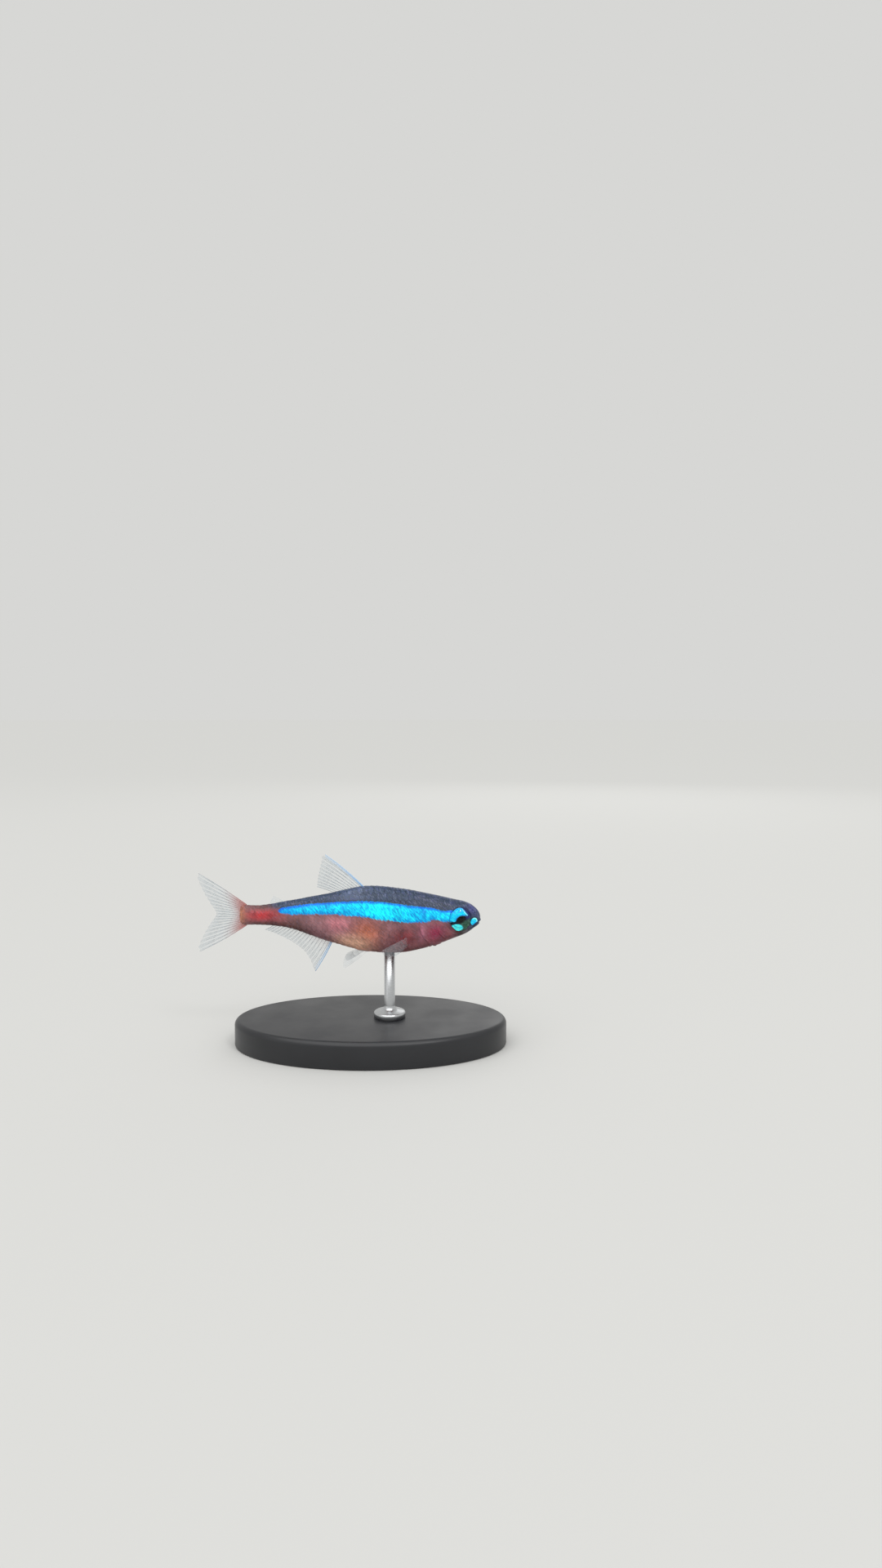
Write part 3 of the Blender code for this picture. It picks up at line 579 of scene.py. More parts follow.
# How far the real skin stands out of the plain body, in mm, as sums of bell curves and smooth
# steps of the distance from the gill cover's edge, the cheek, the orbit, the lips and the nostrils.
def headRelief(p):
    s, y, z = -p[..., 0], p[..., 1], p[..., 2]
    # The gill cover: raised up to its free edge, with a small roll inside it and a groove outside
    gx, gz = head["gillCentre"]
    edge = np.hypot(s - gx, z - gz) - head["gillRadius"]
    turn = np.degrees(np.arctan2(z - gz, s - gx))
    window = smoothStep(-84, -60, turn) * smoothStep(56, 6, turn)
    inner = smoothStep(-2.6, -0.5, edge)
    lift = head["gillLift"] * smoothStep(0.035, -0.035, edge) * inner
    lift += 0.035 * bump(edge + 0.16, 0.09) - 0.05 * bump(np.maximum(edge - 0.05, 0), 0.16) * (edge > -0.03)
    out = lift * window
    cx, cz = head["cheekCentre"]
    cheek = np.hypot(s - cx, z - cz) - head["cheekRadius"]
    around = np.degrees(np.arctan2(z - cz, s - cx))
    out += bells(cheek, head["cheekBells"]) * smoothStep(-72, -42, around) * smoothStep(40, 12, around)
    ex, ez = head["eyeCentre"]
    orbit = np.hypot(s - ex, z - ez) - head["eyeOpening"]
    out += bells(orbit, head["orbitBells"]) + bells(orbit, head["grooveBells"]) * smoothStep(0.4, -0.4, z)
    line = z - (head["mouthTip"] + head["mouthSlope"] * s)
    mouth = smoothStep(head["mouthLength"] + 0.12, head["mouthLength"] - 0.35, s)
    out += mouth * bells(line, head["lipBells"])
    # The corner of the jaw swells, and narrow strips stand up
    out += 0.05 * bump(np.hypot((s - 2.0) / 0.5, (z + 1.75) / 0.28), 1.0)
    for start, end, wide, high in head["strips"]:
        run = np.subtract(end, start)
        t = np.clip(((s - start[0]) * run[0] + (z - start[1]) * run[1]) / (run @ run), 0, 1)
        out += high * bump(np.hypot(s - start[0] - t * run[0], z - start[1] - t * run[1]), wide)
    # Fine rays of bone over the gill cover, and three soft folds of skin under it
    rays = np.sin(np.radians(turn) * 46) * smoothStep(-2.2, -0.9, edge) * smoothStep(-0.1, -0.3, edge)
    out += 0.006 * rays * window
    folds = np.sin((edge + 0.1) * 2 * math.pi / 0.42) * smoothStep(-3.0, -3.5, z) * smoothStep(7.6, 7.0, s)
    out += 0.03 * folds * smoothStep(2.6, 3.4, s) * smoothStep(-0.9, -0.5, edge) * smoothStep(0.9, 0.6, edge)
    for a, h, r in head["nostrils"]:
        far = np.sqrt((s - a) ** 2 + (z - h) ** 2 + (np.abs(y) - flankY(a, h)) ** 2)
        out += 0.05 * bump(far - r * 1.7, r * 0.5) - 0.16 * bump(far, r)
    return out


# One skin over all nodes of flesh: the plain rings, pushed out along their normals by the relief.
def buildSkin(material):
    n = skin
    quarter = np.linspace(0, math.pi / 2, n["noseRings"] + 1)[1:]
    length, tail = fish["length"], fish["tailRound"]
    s = np.concatenate(
        [
            fish["noseRound"] * (1 - np.cos(quarter)),
            np.linspace(fish["noseRound"], n["headEnd"], n["headRings"] + 1)[1:],
            np.linspace(n["headEnd"], length - tail, n["bodyRings"] + 1)[1:],
            length - tail + tail * np.sin(np.linspace(0, math.pi / 2, n["tailRings"] + 2)[1:-1]),
        ]
    )
    angle = np.linspace(0, 2 * math.pi, n["around"], endpoint=False)
    plain = bodyPoint(*np.meshgrid(s, angle, indexing="ij"))
    normals = gridNormals(plain, True)
    middle = plain.mean(axis=1, keepdims=True)
    normals *= np.sign(np.einsum("ijk,ijk->ij", normals, plain - middle).mean())
    points = plain + normals * headRelief(plain)[..., None]
    # The orbit: inside its opening the skin drops to a floor behind the eyeball
    ex, ez = head["eyeCentre"]
    radius = np.hypot(-points[..., 0] - ex, points[..., 2] - ez)
    sunk = smoothStep(head["eyeOpening"], head["eyeOpening"] - 0.1, radius)
    y = points[..., 1]
    points[..., 1] = y + (np.sign(y) * np.minimum(np.abs(y), head["eyeFloor"]) - y) * sunk
    poles = [[0.0, 0.0, fish["noseTip"]], [-length, 0.0, fish["tailTip"]]]
    flat, quads, fans = closedRings(points, poles)
    marks = markingsAt(-flat[:, 0], flat[:, 1], flat[:, 2])
    piece = makePiece("skin", swum(flat), quads, fans, material, marks)
    for node in ("head", "lower_jaw", "trunk", "tail_stalk", "gill_cover_left", "gill_cover_right"):
        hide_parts(node)
    print("skin:", len(piece.data.polygons), "faces")


skinSmooth = fishSkin("wet skin, smooth and pigmented", False)
buildSkin(skinSmooth)


# Scales

scale = {
    "spacing": 0.70,  # along a row
    "rowSpacing": 0.98,
    "length": 1.20,
    "width": 1.22,
    "first": 6.9,
    "last": 31.9,
    "rise": 0.028,  # how far the free edge stands over the skin
    "sink": 0.045,
    "thick": 0.022,
    "along": (0.0, 0.45, 0.93, 1.0),  # rows from root to free edge; the last keeps its shade narrow
    "columns": 8,
    "rooted": 0.30,  # share of its length before its root
    "roundness": 0.46,  # how far the sides of the free edge fall back from its tip
    "lateralLevel": 0.02,
    "ridgeGap": 0.28,  # share of a row left free on both sides of the ridge
    "gillGap": 0.5,
    "settle": (0.3, 2.2),  # over these distances from the free skin the scales rise
    "napeLevels": (1.4, 3.0),  # at these heights over the axis the scales start at these places,
    "napeStart": (7.7, 6.7),
    "startBelow": 5.0,  # and lower down not before this one
    "toneSpread": 0.07,
    "seed": 11,
}


# Tables that turn a distance round the body into an angle, for each station, with the girth there and
# the distance walked down to the middle row of scales.
def girthTables():
    stations = np.linspace(4.0, fish["length"], 320)
    angles = np.linspace(0, 2 * math.pi, 721)
    rings = bodyPoint(*np.meshgrid(stations, angles, indexing="ij"))
    steps = np.linalg.norm(np.diff(rings, axis=1), axis=-1)
    walked = np.concatenate([np.zeros((len(stations), 1)), np.cumsum(steps, axis=1)], axis=1)
    girth = walked[:, -1]
    shares = np.linspace(0, 1, 481)
    turned = np.stack([np.interp(shares, w / w[-1], angles) for w in walked])
    right = len(angles) // 2 + 1
    deep = -scale["lateralLevel"]
    level = np.array([np.interp(deep, -r[:right, 2], w[:right]) for r, w in zip(rings, walked)])
    return stations, girth, turned, level


# The plain skin at s and at a distance walked round the body from the back over the right side.
def walkedPoint(tables, s, walked):
    stations, girth, turned, _ = tables
    share = np.mod(walked / np.interp(s, stations, girth), 1.0) * (turned.shape[1] - 1)
    row = np.clip((s - stations[0]) / (stations[1] - stations[0]), 0, len(stations) - 1.001)
    i, j = row.astype(int), np.minimum(share.astype(int), turned.shape[1] - 2)
    a, b = row - i, share - j
    angle = (turned[i, j] * (1 - b) + turned[i, j + 1] * b) * (1 - a)
    angle += (turned[i + 1, j] * (1 - b) + turned[i + 1, j + 1] * b) * a
    return bodyPoint(s, angle)


# Where scales are rooted, as s and distance walked: rows on both flanks, each shifted by half a scale
# from the next, and a row along the ridge of back and belly. The gill cover and the nape are free.
# The first scales lie flush with the skin and the next ones stand out more and more.
def scaleRoots(tables):
    n = scale
    stations, girth, _, level = tables
    roots = []
    count = int((n["last"] - n["first"]) / n["spacing"])
    for row in range(-7, 8):
        for side in (0, 1):
            s = n["first"] + n["spacing"] * (np.arange(count) + 0.5 * (row % 2))
            middle, whole = np.interp(s, stations, level), np.interp(s, stations, girth)
            walk = middle + row * n["rowSpacing"]
            gap = n["ridgeGap"] * n["rowSpacing"]
            keep = (walk > gap) & (walk < whole / 2 - gap)
            walk = walk if side == 0 else whole - walk
            roots.append(np.stack([s, walk], -1)[keep])
    for ridge in (0.0, 0.5):
        s = n["first"] + 0.4 + n["spacing"] * np.arange(count)
        roots.append(np.stack([s, ridge * np.interp(s, stations, girth)], -1))
    roots = np.concatenate(roots)
    s, z = roots[:, 0], walkedPoint(tables, roots[:, 0], roots[:, 1])[:, 2]
    edge = np.hypot(s - head["gillCentre"][0], z - head["gillCentre"][1]) - head["gillRadius"] - n["gillGap"]
    nape = np.interp(z, n["napeLevels"], n["napeStart"])
    high = z > n["napeLevels"][0]
    free = (edge > 0) & (s > np.where(high, nape, n["startBelow"]))
    inland = np.where(high, np.minimum(edge, s - nape), edge)
    return roots[free], smoothStep(*n["settle"], inland[free])[:, None, None]


# The OFBake map: each plate has a small patch of its own, placed by how far back and how far round the
# body it is rooted, the same for its upper and its lower face.
def scaleMap(back, turn, u, v):
    along = back * 0.98 + 0.01 + 0.003 * (v - 0.5)
    up = np.mod(turn + 0.5, 1.0) * 0.98 + 0.01 + 0.003 * (u / 2)
    face = np.stack([along, up], -1)
    return np.stack([face, face], axis=1).reshape(-1, 2)


# A scale is a small plate, round at its free edge, laid on the skin and tipped so that it covers
# the root of the next. Its outline is a superellipse, and its height rises from root to free edge.
def buildScales():
    n = scale
    tables = girthTables()
    stations, girth, _, _ = tables
    spots, settled = scaleRoots(tables)
    across = np.sin(np.linspace(-math.pi / 2, math.pi / 2, n["columns"]))
    v, u = np.meshgrid(n["along"], across, indexing="ij")
    walked = spots[:, 1, None, None] + u * (0.82 + 0.18 * smoothStep(0, 0.4, v)) * n["width"] / 2
    arc = n["roundness"] * (1 - np.sqrt(1 - 0.96 * u**2)) * v
    s = spots[:, 0, None, None] + (v - n["rooted"] - arc) * n["length"] + 0 * walked
    s = np.minimum(s, fish["length"] - 0.12)
    ground = walkedPoint(tables, s, walked)
    step = 0.02
    aside, behind = walkedPoint(tables, s, walked + step), walkedPoint(tables, s + step, walked)
    normals = unit(np.cross(aside - ground, behind - ground))
    outward = ground * (0, 1, 1)
    normals *= np.sign(np.einsum("ijkl,ijkl->ijk", normals, outward))[..., None]
    rise = n["rise"] * settled - n["thick"] * 0.5 * (1 - settled)
    height = -n["sink"] + (n["sink"] + rise) * smoothStep(0, 0.9, v) - 0.015 * u**2 * (1 - v)
    upper = ground + normals * (height + n["thick"] / 2)[..., None]
    lower = ground + normals * (height - n["thick"] / 2)[..., None]
    quads = forEachPart(slabQuads(*v.shape), len(spots), 2 * v.size)
    points = np.stack([upper, lower], axis=1).reshape(-1, 3)
    base = np.stack([ground, ground], axis=1).reshape(-1, 3)
    marks = markingsAt(-base[:, 0], base[:, 1], base[:, 2])
    freeEdge = np.maximum(v**8, (np.abs(u) ** 5) * smoothStep(0.2, 0.6, v))
    marks["rim"] = np.tile(np.stack([freeEdge, freeEdge]).ravel(), len(spots))
    tones = 1 + n["toneSpread"] * np.random.default_rng(n["seed"]).normal(size=len(spots))
    marks["tone"] = np.repeat(tones, 2 * v.size)
    back, turn = spots[:, 0] / fish["length"], spots[:, 1] / np.interp(spots[:, 0], stations, girth)
    uv = scaleMap(back[:, None, None], turn[:, None, None], u, v)
    material = fishSkin("wet scales over pigmented skin", True)
    piece = makePiece("scales", swum(points), quads, [], material, marks, uv)
    print("scales:", len(spots), "plates,", len(piece.data.polygons), "faces")


buildScales()


# Eyes

eye = {
    "frontY": 2.05,
    "radius": 1.54,
    "bulge": 0.5,  # how far the cornea stands over its rim
    "toeDegrees": 11,
    "tiltDegrees": 5,
    "pupil": 0.44,
    "steps": 96,
    # the orbit's rim in section: distance outside the opening, height over the flank
    "rim": (
        (-0.10, -0.34),
        (-0.07, -0.16),
        (-0.03, -0.03),
        (0.03, 0.05),
        (0.10, 0.08),
        (0.18, 0.055),
        (0.28, -0.005),
        (0.40, -0.07),
        (0.32, -0.2),
        (0.09, -0.32),
        (-0.02, -0.44),
    ),
}


# The soft rim of each orbit: a closed loop of a profile carried round the eye on the flank, its
# inner side dipping to the eyeball and its outer side sinking under the skin.
def buildEyeRims(material):
    ex, ez = head["eyeCentre"]
    a = np.linspace(0, 2 * math.pi, 120, endpoint=False)[:, None]
    radius, out = np.array(eye["rim"]).T[:, None]
    radius = head["eyeOpening"] + radius
    s = ex + radius * np.cos(a)
    z = ez + radius * np.sin(a)
    for side, word in ((-1, "right"), (1, "left")):
        y = side * (flankY(s, z) + out)
        grid = np.stack([-s, y, z], -1)
        rows, columns = s.shape
        quads = gridQuads(rows + 1, columns, True) % (rows * columns)
        points = grid.reshape(-1, 3)
        marks = markingsAt(-points[:, 0], points[:, 1], points[:, 2])
        makePiece(f"eye_{word}_rim", swum(points), quads, [], material, marks)


# Carries local points (to the front, up, out) to one eye of the fish.
def placeEye(side, local):
    toe, tilt = math.radians(eye["toeDegrees"]), math.radians(eye["tiltDegrees"])
    out = np.array([math.sin(toe) * math.cos(tilt), side * math.cos(toe) * math.cos(tilt), math.sin(tilt)])
    front = unit(np.array([math.cos(toe), -side * math.sin(toe), 0.0]))
    up = unit(np.cross(out, front)) * (-side)
    up = up * np.sign(up[2])
    start = np.array([-head["eyeCentre"][0], side * eye["frontY"], head["eyeCentre"][1]])
    return swum(start + local[..., :1] * front + local[..., 1:2] * up + local[..., 2:] * out)


# A profile of (radius, height) turned about its axis, closed where its radius is zero.
def turnedPiece(name, profile, steps, placed, material):
    r, h = np.asarray(profile[1:-1], float).T
    a = np.linspace(0, 2 * math.pi, steps, endpoint=False)
    grid = np.stack([r[:, None] * np.cos(a), r[:, None] * np.sin(a), h[:, None] + 0 * a], -1)
    flat, quads, fans = closedRings(grid, [[0, 0, profile[0][1]], [0, 0, profile[-1][1]]])
    return makePiece(name, placed(flat), quads, fans, material, {"local": flat})


# Iris of a silver-backed ring under a clear cornea: it throws cyan above the pupil and a mint patch
# below and behind it, is violet in front and sage green under that. The pupil is the dark lens, drawn
# out to the front by a slot.
def irisMaterial():
    colours = {
        "pupil": "#020304",
        "dark": "#081428",
        "violet": "#34367A",
        "sage": "#33604F",
        "sageLight": "#7CA893",
        "cyan": "#00A0DC",
        "light": "#10E6F8",
        "mint": "#70F6E2",
        "paintedHighlight": "#B4F8FF",
        "blue": "#0868C8",
    }
    c = {k: linearColour(v) for k, v in colours.items()}
    material, tree, shader, add = newMaterial("fish iris, reflecting crystals under a clear cornea")
    local = add("Attribute", attribute_name="local")["Vector"]
    front, up, _ = add("SeparateXYZ", (local,))
    flat = add("CombineXYZ", (front, up))[0]
    radius = add("VectorMath", (flat,), operation="LENGTH")["Value"]
    # Fibres that run out from the pupil: noise stretched along the radius
    angle = add("Math", (up, front), operation="ARCTAN2")[0]
    angle = add("Math", (angle, 3.0), operation="MULTIPLY")[0]
    fibre = add("CombineXYZ", (angle, radius))[0]
    fibre = add("TexNoise", {"Vector": fibre, "Scale": 2.4, "Detail": 4.0})[0]
    grain = add("TexNoise", {"Vector": flat, "Scale": 6.0, "Detail": 3.0})[0]
    ragged = add("MapRange", (fibre, 0.3, 0.7, -0.08, 0.08))[0]
    # Cyan over a line that climbs from behind the pupil to its front, as far as a slanting chord
    climb = add("MapRange", (front, -0.7, 0.5, -0.36, 0.40))[0]
    lifted = add("Math", (up, climb), operation="SUBTRACT")[0]
    lifted = add("Math", (lifted, ragged), operation="ADD")[0]
    chord = add("VectorMath", (flat, (0.79, 0.61, 0.0)), operation="DOT_PRODUCT")["Value"]
    chord = add("Math", (ragged, 0.3, chord), operation="MULTIPLY_ADD")[0]
    above = add("MapRange", (lifted, 0.0, 0.14))[0]
    behind = add("MapRange", (chord, 1.26, 1.12))[0]
    above = add("Math", (above, behind), operation="MULTIPLY")[0]
    # The mint patch is an oval under the pupil, with a faint dark line round the eye in it
    oval = {"Location": (-0.40, -1.05, 0.0), "Rotation": (0, 0, -0.08), "Scale": (0.84, 0.48, 1.0)}
    oval = add("Mapping", {"Vector": flat} | oval, vector_type="TEXTURE")[0]
    oval = add("VectorMath", (oval,), operation="LENGTH")["Value"]
    oval = add("Math", (oval, ragged), operation="ADD")[0]
    below = add("MapRange", (oval, 0.84, 1.06, 1.0, 0.0))[0]
    split = add("Math", (radius, ragged), operation="ADD")[0]
    split = add("Math", (split, 1.06), operation="SUBTRACT")[0]
    split = add("Math", (split,), operation="ABSOLUTE")[0]
    split = add("MapRange", (split, 0.0, 0.14, 0.6, 1.0))[0]
    below = add("Math", (below, split), operation="MULTIPLY")[0]
    # The lens and its slot: an oval that leans up to the front
    slot = {"Location": (0.13, 0.02, 0.0), "Rotation": (0, 0, 0.38), "Scale": (0.64, 0.42, 1.0)}
    slot = add("Mapping", {"Vector": flat} | slot, vector_type="TEXTURE")[0]
    slot = add("VectorMath", (slot,), operation="LENGTH")["Value"]
    clear = add("MapRange", (slot, 0.9, 1.12))[0]
    fibreTone = add("MapRange", (fibre, 0.35, 0.7))[0]
    cyan = add("Mix", {0: fibreTone, 6: c["cyan"], 7: c["light"]}, data_type="RGBA")[2]
    mint = add("Mix", {0: fibreTone, 6: c["light"], 7: c["mint"]}, data_type="RGBA")[2]
    shineColour = add("Mix", {0: below, 6: cyan, 7: mint}, data_type="RGBA")[2]
    # A painted highlight runs pale along the chord; deep blue lies next to the lens, and painted shade turns
    # the cyan deep blue towards the rim above
    paintedHighlight = add("Math", (chord, 1.1), operation="SUBTRACT")[0]
    paintedHighlight = add("Math", (paintedHighlight,), operation="ABSOLUTE")[0]
    paintedHighlight = add("MapRange", (paintedHighlight, 0.0, 0.09, 0.8, 0.0))[0]
    inner = add("MapRange", (slot, 1.0, 1.5, 0.7, 0.0))[0]
    edge = add("MapRange", (radius, 1.12, 1.42, 0.0, 0.7))[0]
    edge = add("Math", (edge, above), operation="MULTIPLY")[0]
    for share, colour in ((paintedHighlight, "paintedHighlight"), (inner, "blue"), (edge, "blue")):
        shineColour = add("Mix", {0: share, 6: shineColour, 7: c[colour]}, data_type="RGBA")[2]
    shine = add("Math", (above, below), operation="MAXIMUM")[0]
    shine = add("Math", (shine, clear), operation="MULTIPLY")[0]
    ahead = add("MapRange", (chord, 0.5, 1.0))[0]
    dark = add("Mix", {0: ahead, 6: c["dark"], 7: c["violet"]}, data_type="RGBA")[2]
    corner = add("VectorMath", (flat, (0.45, -0.89, 0.0)), operation="DOT_PRODUCT")["Value"]
    corner = add("MapRange", (corner, 0.32, 0.7))[0]
    lightFibre = add("MapRange", (fibre, 0.54, 0.68, 0.0, 0.8))[0]
    sage = add("Mix", {0: lightFibre, 6: c["sage"], 7: c["sageLight"]}, data_type="RGBA")[2]
    dark = add("Mix", {0: corner, 6: dark, 7: sage}, data_type="RGBA")[2]
    dark = add("Mix", {0: clear, 6: c["pupil"], 7: dark}, data_type="RGBA")[2]
    finish = {
        "Base Color": add("Mix", {0: shine, 6: dark, 7: shineColour}, data_type="RGBA")[2],
        "Metallic": add("Math", (shine, 0.35), operation="MULTIPLY")[0],
        "Roughness": add("MapRange", (grain, 0.3, 0.7, 0.34, 0.5))[0],
        # The cyan and mint glow by painted emission, though the iris is no lamp
        "Emission Color": add("Mix", {0: shine, 6: (0, 0, 0, 1), 7: shineColour}, data_type="RGBA")[2],
        "Emission Strength": 0.4,
        "Specular IOR Level": 0.1,
        "Normal": add("Bump", {"Strength": 0.3, "Distance": 0.02 * mm, "Height": fibre})[0],
    }
    fillInputs(tree, shader, finish)
    return material


# Clear wet cornea, as smooth as glass, its IOR under the 1.38 of a cornea in air, as a wet eye shows.
def corneaMaterial():
    material, tree, shader, add = newMaterial("clear wet cornea")
    grain = add("TexNoise", {"Vector": add("TexCoord")["Object"], "Scale": 900.0, "Detail": 1.0})[0]
    finish = {
        "Base Color": linearColour("#FFFFFF"),
        "Roughness": add("MapRange", (grain, 0.3, 0.7, 0.0, 0.03))[0],
        "IOR": 1.2,
        "Transmission Weight": 1.0,
    }
    fillInputs(tree, shader, finish)
    return material


# Iris profile: a dome for the lens, a shallow valley, the ring's swell and the ball's flat back. The
# cornea is a cap of a larger ball, and its inner face lies a little under the outer one.
def buildEyes():
    r, p = eye["radius"], eye["pupil"]
    quarter = np.linspace(0, math.pi / 2, 10)
    lens = [(p * math.sin(a), -0.16 - 0.10 * (1 - math.cos(a))) for a in quarter]
    out = np.linspace(p + 0.03, r - 0.06, 16)
    ring = list(zip(out, -0.25 - 0.05 * bump(out - p, 0.08) - 0.33 * (out / r) ** 3))
    back = [(r * math.cos(a), -0.66 - 0.5 * math.sin(a)) for a in np.linspace(0, math.pi / 2, 9)]
    back[-1] = (0.0, -1.16)
    outer = [(q, -eye["bulge"] * (q / r) ** 2) for q in np.linspace(0, r - 0.03, 22)]
    inner = [(q * 0.985, h - 0.03) for q, h in reversed(outer)]
    iris, cornea = irisMaterial(), corneaMaterial()
    for side, word in ((-1, "right"), (1, "left")):
        placed = partial(placeEye, side)
        ball = turnedPiece(f"eye_{word}_ball", lens + ring + back, eye["steps"], placed, iris)
        turnedPiece(f"eye_{word}_cornea", outer + inner, eye["steps"], placed, cornea)
        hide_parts(f"eye_{word}")
    print("eyes: two balls, each under its cornea")


buildEyeRims(skinSmooth)
buildEyes()


# Fins

fin = {
    "rootDepth": 0.7,
    "membrane": 0.07,
    "margin": 0.03,
    "start": 0.05,  # share of a ray's length that is left out at its root
    "reach": 0.985,  # share of it where the tubes end
    "perRay": 4,
    "down": 22,
    "tubeSides": 6,
    "tubeRings": 9,
    # each ray's trunk and its two forks: start and end along it, how far the tubes part as a share of
    # the spacing of rays, and their radii at both ends as shares of the trunk's
    "forks": ((0.0, 0.44, 0.0, 1.0, 0.78), (0.40, 0.72, 0.17, 0.72, 0.52), (0.68, 1.0, 0.10, 0.5, 0.26)),
}


# Points v of the way along rays that leave their roots at a heading and bow by the square of v.
def alongRays(root, heading, length, bow, v):
    return root + (unit(heading) * v[..., None] + np.asarray(bow) * v[..., None] ** 2) * length[..., None]


# The rays' headings: they turn evenly from the first ray's to the last one's.
def headingFrom(first, last, u):
    return np.asarray(first) * (1 - u)[..., None] + np.asarray(last) * u[..., None]


# One function places each fin: u runs over its rays from the first to the last, v out along them. It
# gives where they are rooted, how long they are, where they head and how they bow. This one is highest
# in front.
def dorsalPlace(u, v):
    s = 14.8 + 3.5 * u
    root = np.stack([-s, 0 * s, throughStations(1, s) - fin["rootDepth"]], -1)
    length = fin["rootDepth"] + 7.4 - 4.7 * u**0.85 - 0.5 * np.exp(-u / 0.03)
    heading = headingFrom((-0.69, 0, 0.73), (-0.88, 0, 0.42), u)
    return alongRays(root, heading, length, (-0.06, 0.02, -0.09), v)


# A high front lobe that falls to a long low edge.
def analPlace(u, v):
    s = 19.3 + 7.1 * u
    root = np.stack([-s, 0 * s, fin["rootDepth"] - throughStations(2, s)], -1)
    length = fin["rootDepth"] + 1.75 + 3.3 * np.exp(-u / 0.2) - 0.35 * np.exp(-u / 0.02)
    heading = headingFrom((-0.40, 0, -0.92), (-0.82, 0, -0.56), u)
    return alongRays(root, heading, length, (-0.08, 0.02, 0.05), v)


# Forked: its rays fan out by 34 degrees up and down, and the outer ones are twice as long.
def caudalPlace(u, v):
    side = 2 * u - 1
    spread = np.abs(side)
    s = fish["length"] - 0.95 - 0.35 * spread
    half = np.where(side > 0, throughStations(1, s), throughStations(2, s)) - 0.15
    root = np.stack([-s, 0 * s, fish["tailTip"] + side * half], -1)
    length = 4.2 + 4.8 * spread**1.4 - 0.5 * np.clip(spread - 0.88, 0, 1) / 0.12
    slope = math.radians(34) * side
    heading = np.stack([-np.cos(slope), 0 * u, np.sin(slope)], -1)
    bow = np.stack([-0.03 + 0 * u, 0.05 + 0 * u, -0.06 * side], -1)
    return alongRays(root, heading, length, bow, v)


# A small flap of flesh that leans back.
def adiposePlace(u, v):
    s = 25.2 + 1.1 * u
    root = np.stack([-s, 0 * s, throughStations(1, s) - fin["rootDepth"]], -1)
    length = fin["rootDepth"] + 1.9 - 0.9 * u
    heading = headingFrom((-0.78, 0, 0.62), (-0.97, 0, 0.25), u)
    return alongRays(root, heading, length, (-0.05, 0, -0.12), v)


# Both pectoral fins, rounded at the corners, spread from the flank behind the gill cover.
def pectoralPlace(side, u, v):
    s, z = 8.35 + 0.45 * u, -1.75 - 1.05 * u
    root = np.stack([-s, side * (flankY(s, z) - fin["rootDepth"]), z], -1)
    rounding = 0.4 * np.exp(-u / 0.06) + 0.35 * np.exp(-(1 - u) / 0.12)
    length = fin["rootDepth"] + 4.7 - 2.3 * u**1.3 - rounding
    heading = headingFrom((-0.76, 0.50 * side, -0.36), (-0.60, 0.52 * side, -0.62), u)
    return alongRays(root, heading, length, (-0.10, -0.10 * side, -0.02), v)


# Both pelvic fins, close together under the belly.
def pelvicPlace(side, u, v):
    s, deep = 14.1 + 0.9 * u, fin["rootDepth"] * 1.2
    root = np.stack([-s, side * (0.85 - 0.42 * u), deep - throughStations(2, s)], -1)
    length = deep + 3.9 - 1.6 * u - 0.35 * np.exp(-u / 0.08) - 0.3 * np.exp(-(1 - u) / 0.12)
    heading = headingFrom((-0.72, 0.22 * side, -0.62), (-0.84, 0.02 * side, -0.50), u)
    return alongRays(root, heading, length, (-0.08, 0.02 * side, 0.04), v)


# Thin living membrane, nearly clear, a little milky in clouds of 1 mm, and red where flesh runs into
# it. Its milk lies between two opacities, and a share of it is left at the root.
def membraneMaterial(name, least, most, atRoot):
    material, tree, shader, add = newMaterial(name)
    where = add("Attribute", attribute_name="finPlace")["Vector"]
    _, walked, red = add("SeparateXYZ", (where,))
    cloud = add("TexNoise", {"Vector": where, "Scale": 1.0, "Detail": 3.0})[0]
    grain = add("TexNoise", {"Vector": where, "Scale": 30.0, "Detail": 3.0})[0]
    milk = add("MapRange", (cloud, 0.3, 0.7, least, most))[0]
    share = add("MapRange", (walked, 1.5, 3.3, atRoot, 1.0))[0]
    milk = add("Math", (milk, share), operation="MULTIPLY")[0]
    thick = add("Math", (red, 0.55, milk), operation="MULTIPLY_ADD", use_clamp=True)[0]
    clearHue, redHue = linearColour("#CDD8DE"), linearColour("#BC5E54")
    finish = {
        "Base Color": add("Mix", {0: red, 6: clearHue, 7: redHue}, data_type="RGBA")[2],
        "Roughness": add("MapRange", (grain, 0.3, 0.7, 0.1, 0.28))[0],
        "Alpha": thick,
        "Normal": add("Bump", {"Strength": 0.1, "Distance": 0.01 * mm, "Height": grain})[0],
    }
    fillInputs(tree, shader, finish)
    return material


# Horny rays: milky, jointed every 0.35 mm, and red-based on the tail. Those of the paired fins come
# out of the flesh nearly clear.
def rayMaterial(name, paleHex, jointHex, alpha, paintedGlow, clearRoot=False):
    material, tree, shader, add = newMaterial(name)
    where = add("Attribute", attribute_name="finPlace")["Vector"]
    _, walked, red = add("SeparateXYZ", (where,))
    wave = add("Math", (walked, 2 * math.pi / 0.35), operation="MULTIPLY")[0]
    wave = add("Math", (wave,), operation="SINE")[0]
    joint = add("MapRange", (wave, 0.6, 0.95, 0.0, 0.45))[0]
    colour = add("Mix", {0: joint, 6: linearColour(paleHex), 7: linearColour(jointHex)}, data_type="RGBA")[2]
    if clearRoot:
        alpha = add("MapRange", (walked, 1.5, 3.3, 0.4 * alpha, alpha))[0]
    finish = {
        "Base Color": add("Mix", {0: red, 6: colour, 7: linearColour("#C4564C")}, data_type="RGBA")[2],
        "Roughness": add("MapRange", (joint, 0.0, 0.45, 0.25, 0.4))[0],
        "Alpha": alpha,
        # Emission in the pale colour of the horn is painted glow
        "Emission Color": linearColour(paleHex),
        "Emission Strength": paintedGlow,
        "Normal": add("Bump", {"Strength": 0.3, "Distance": 0.02 * mm, "Height": wave})[0],
    }
    fillInputs(tree, shader, finish)
    return material


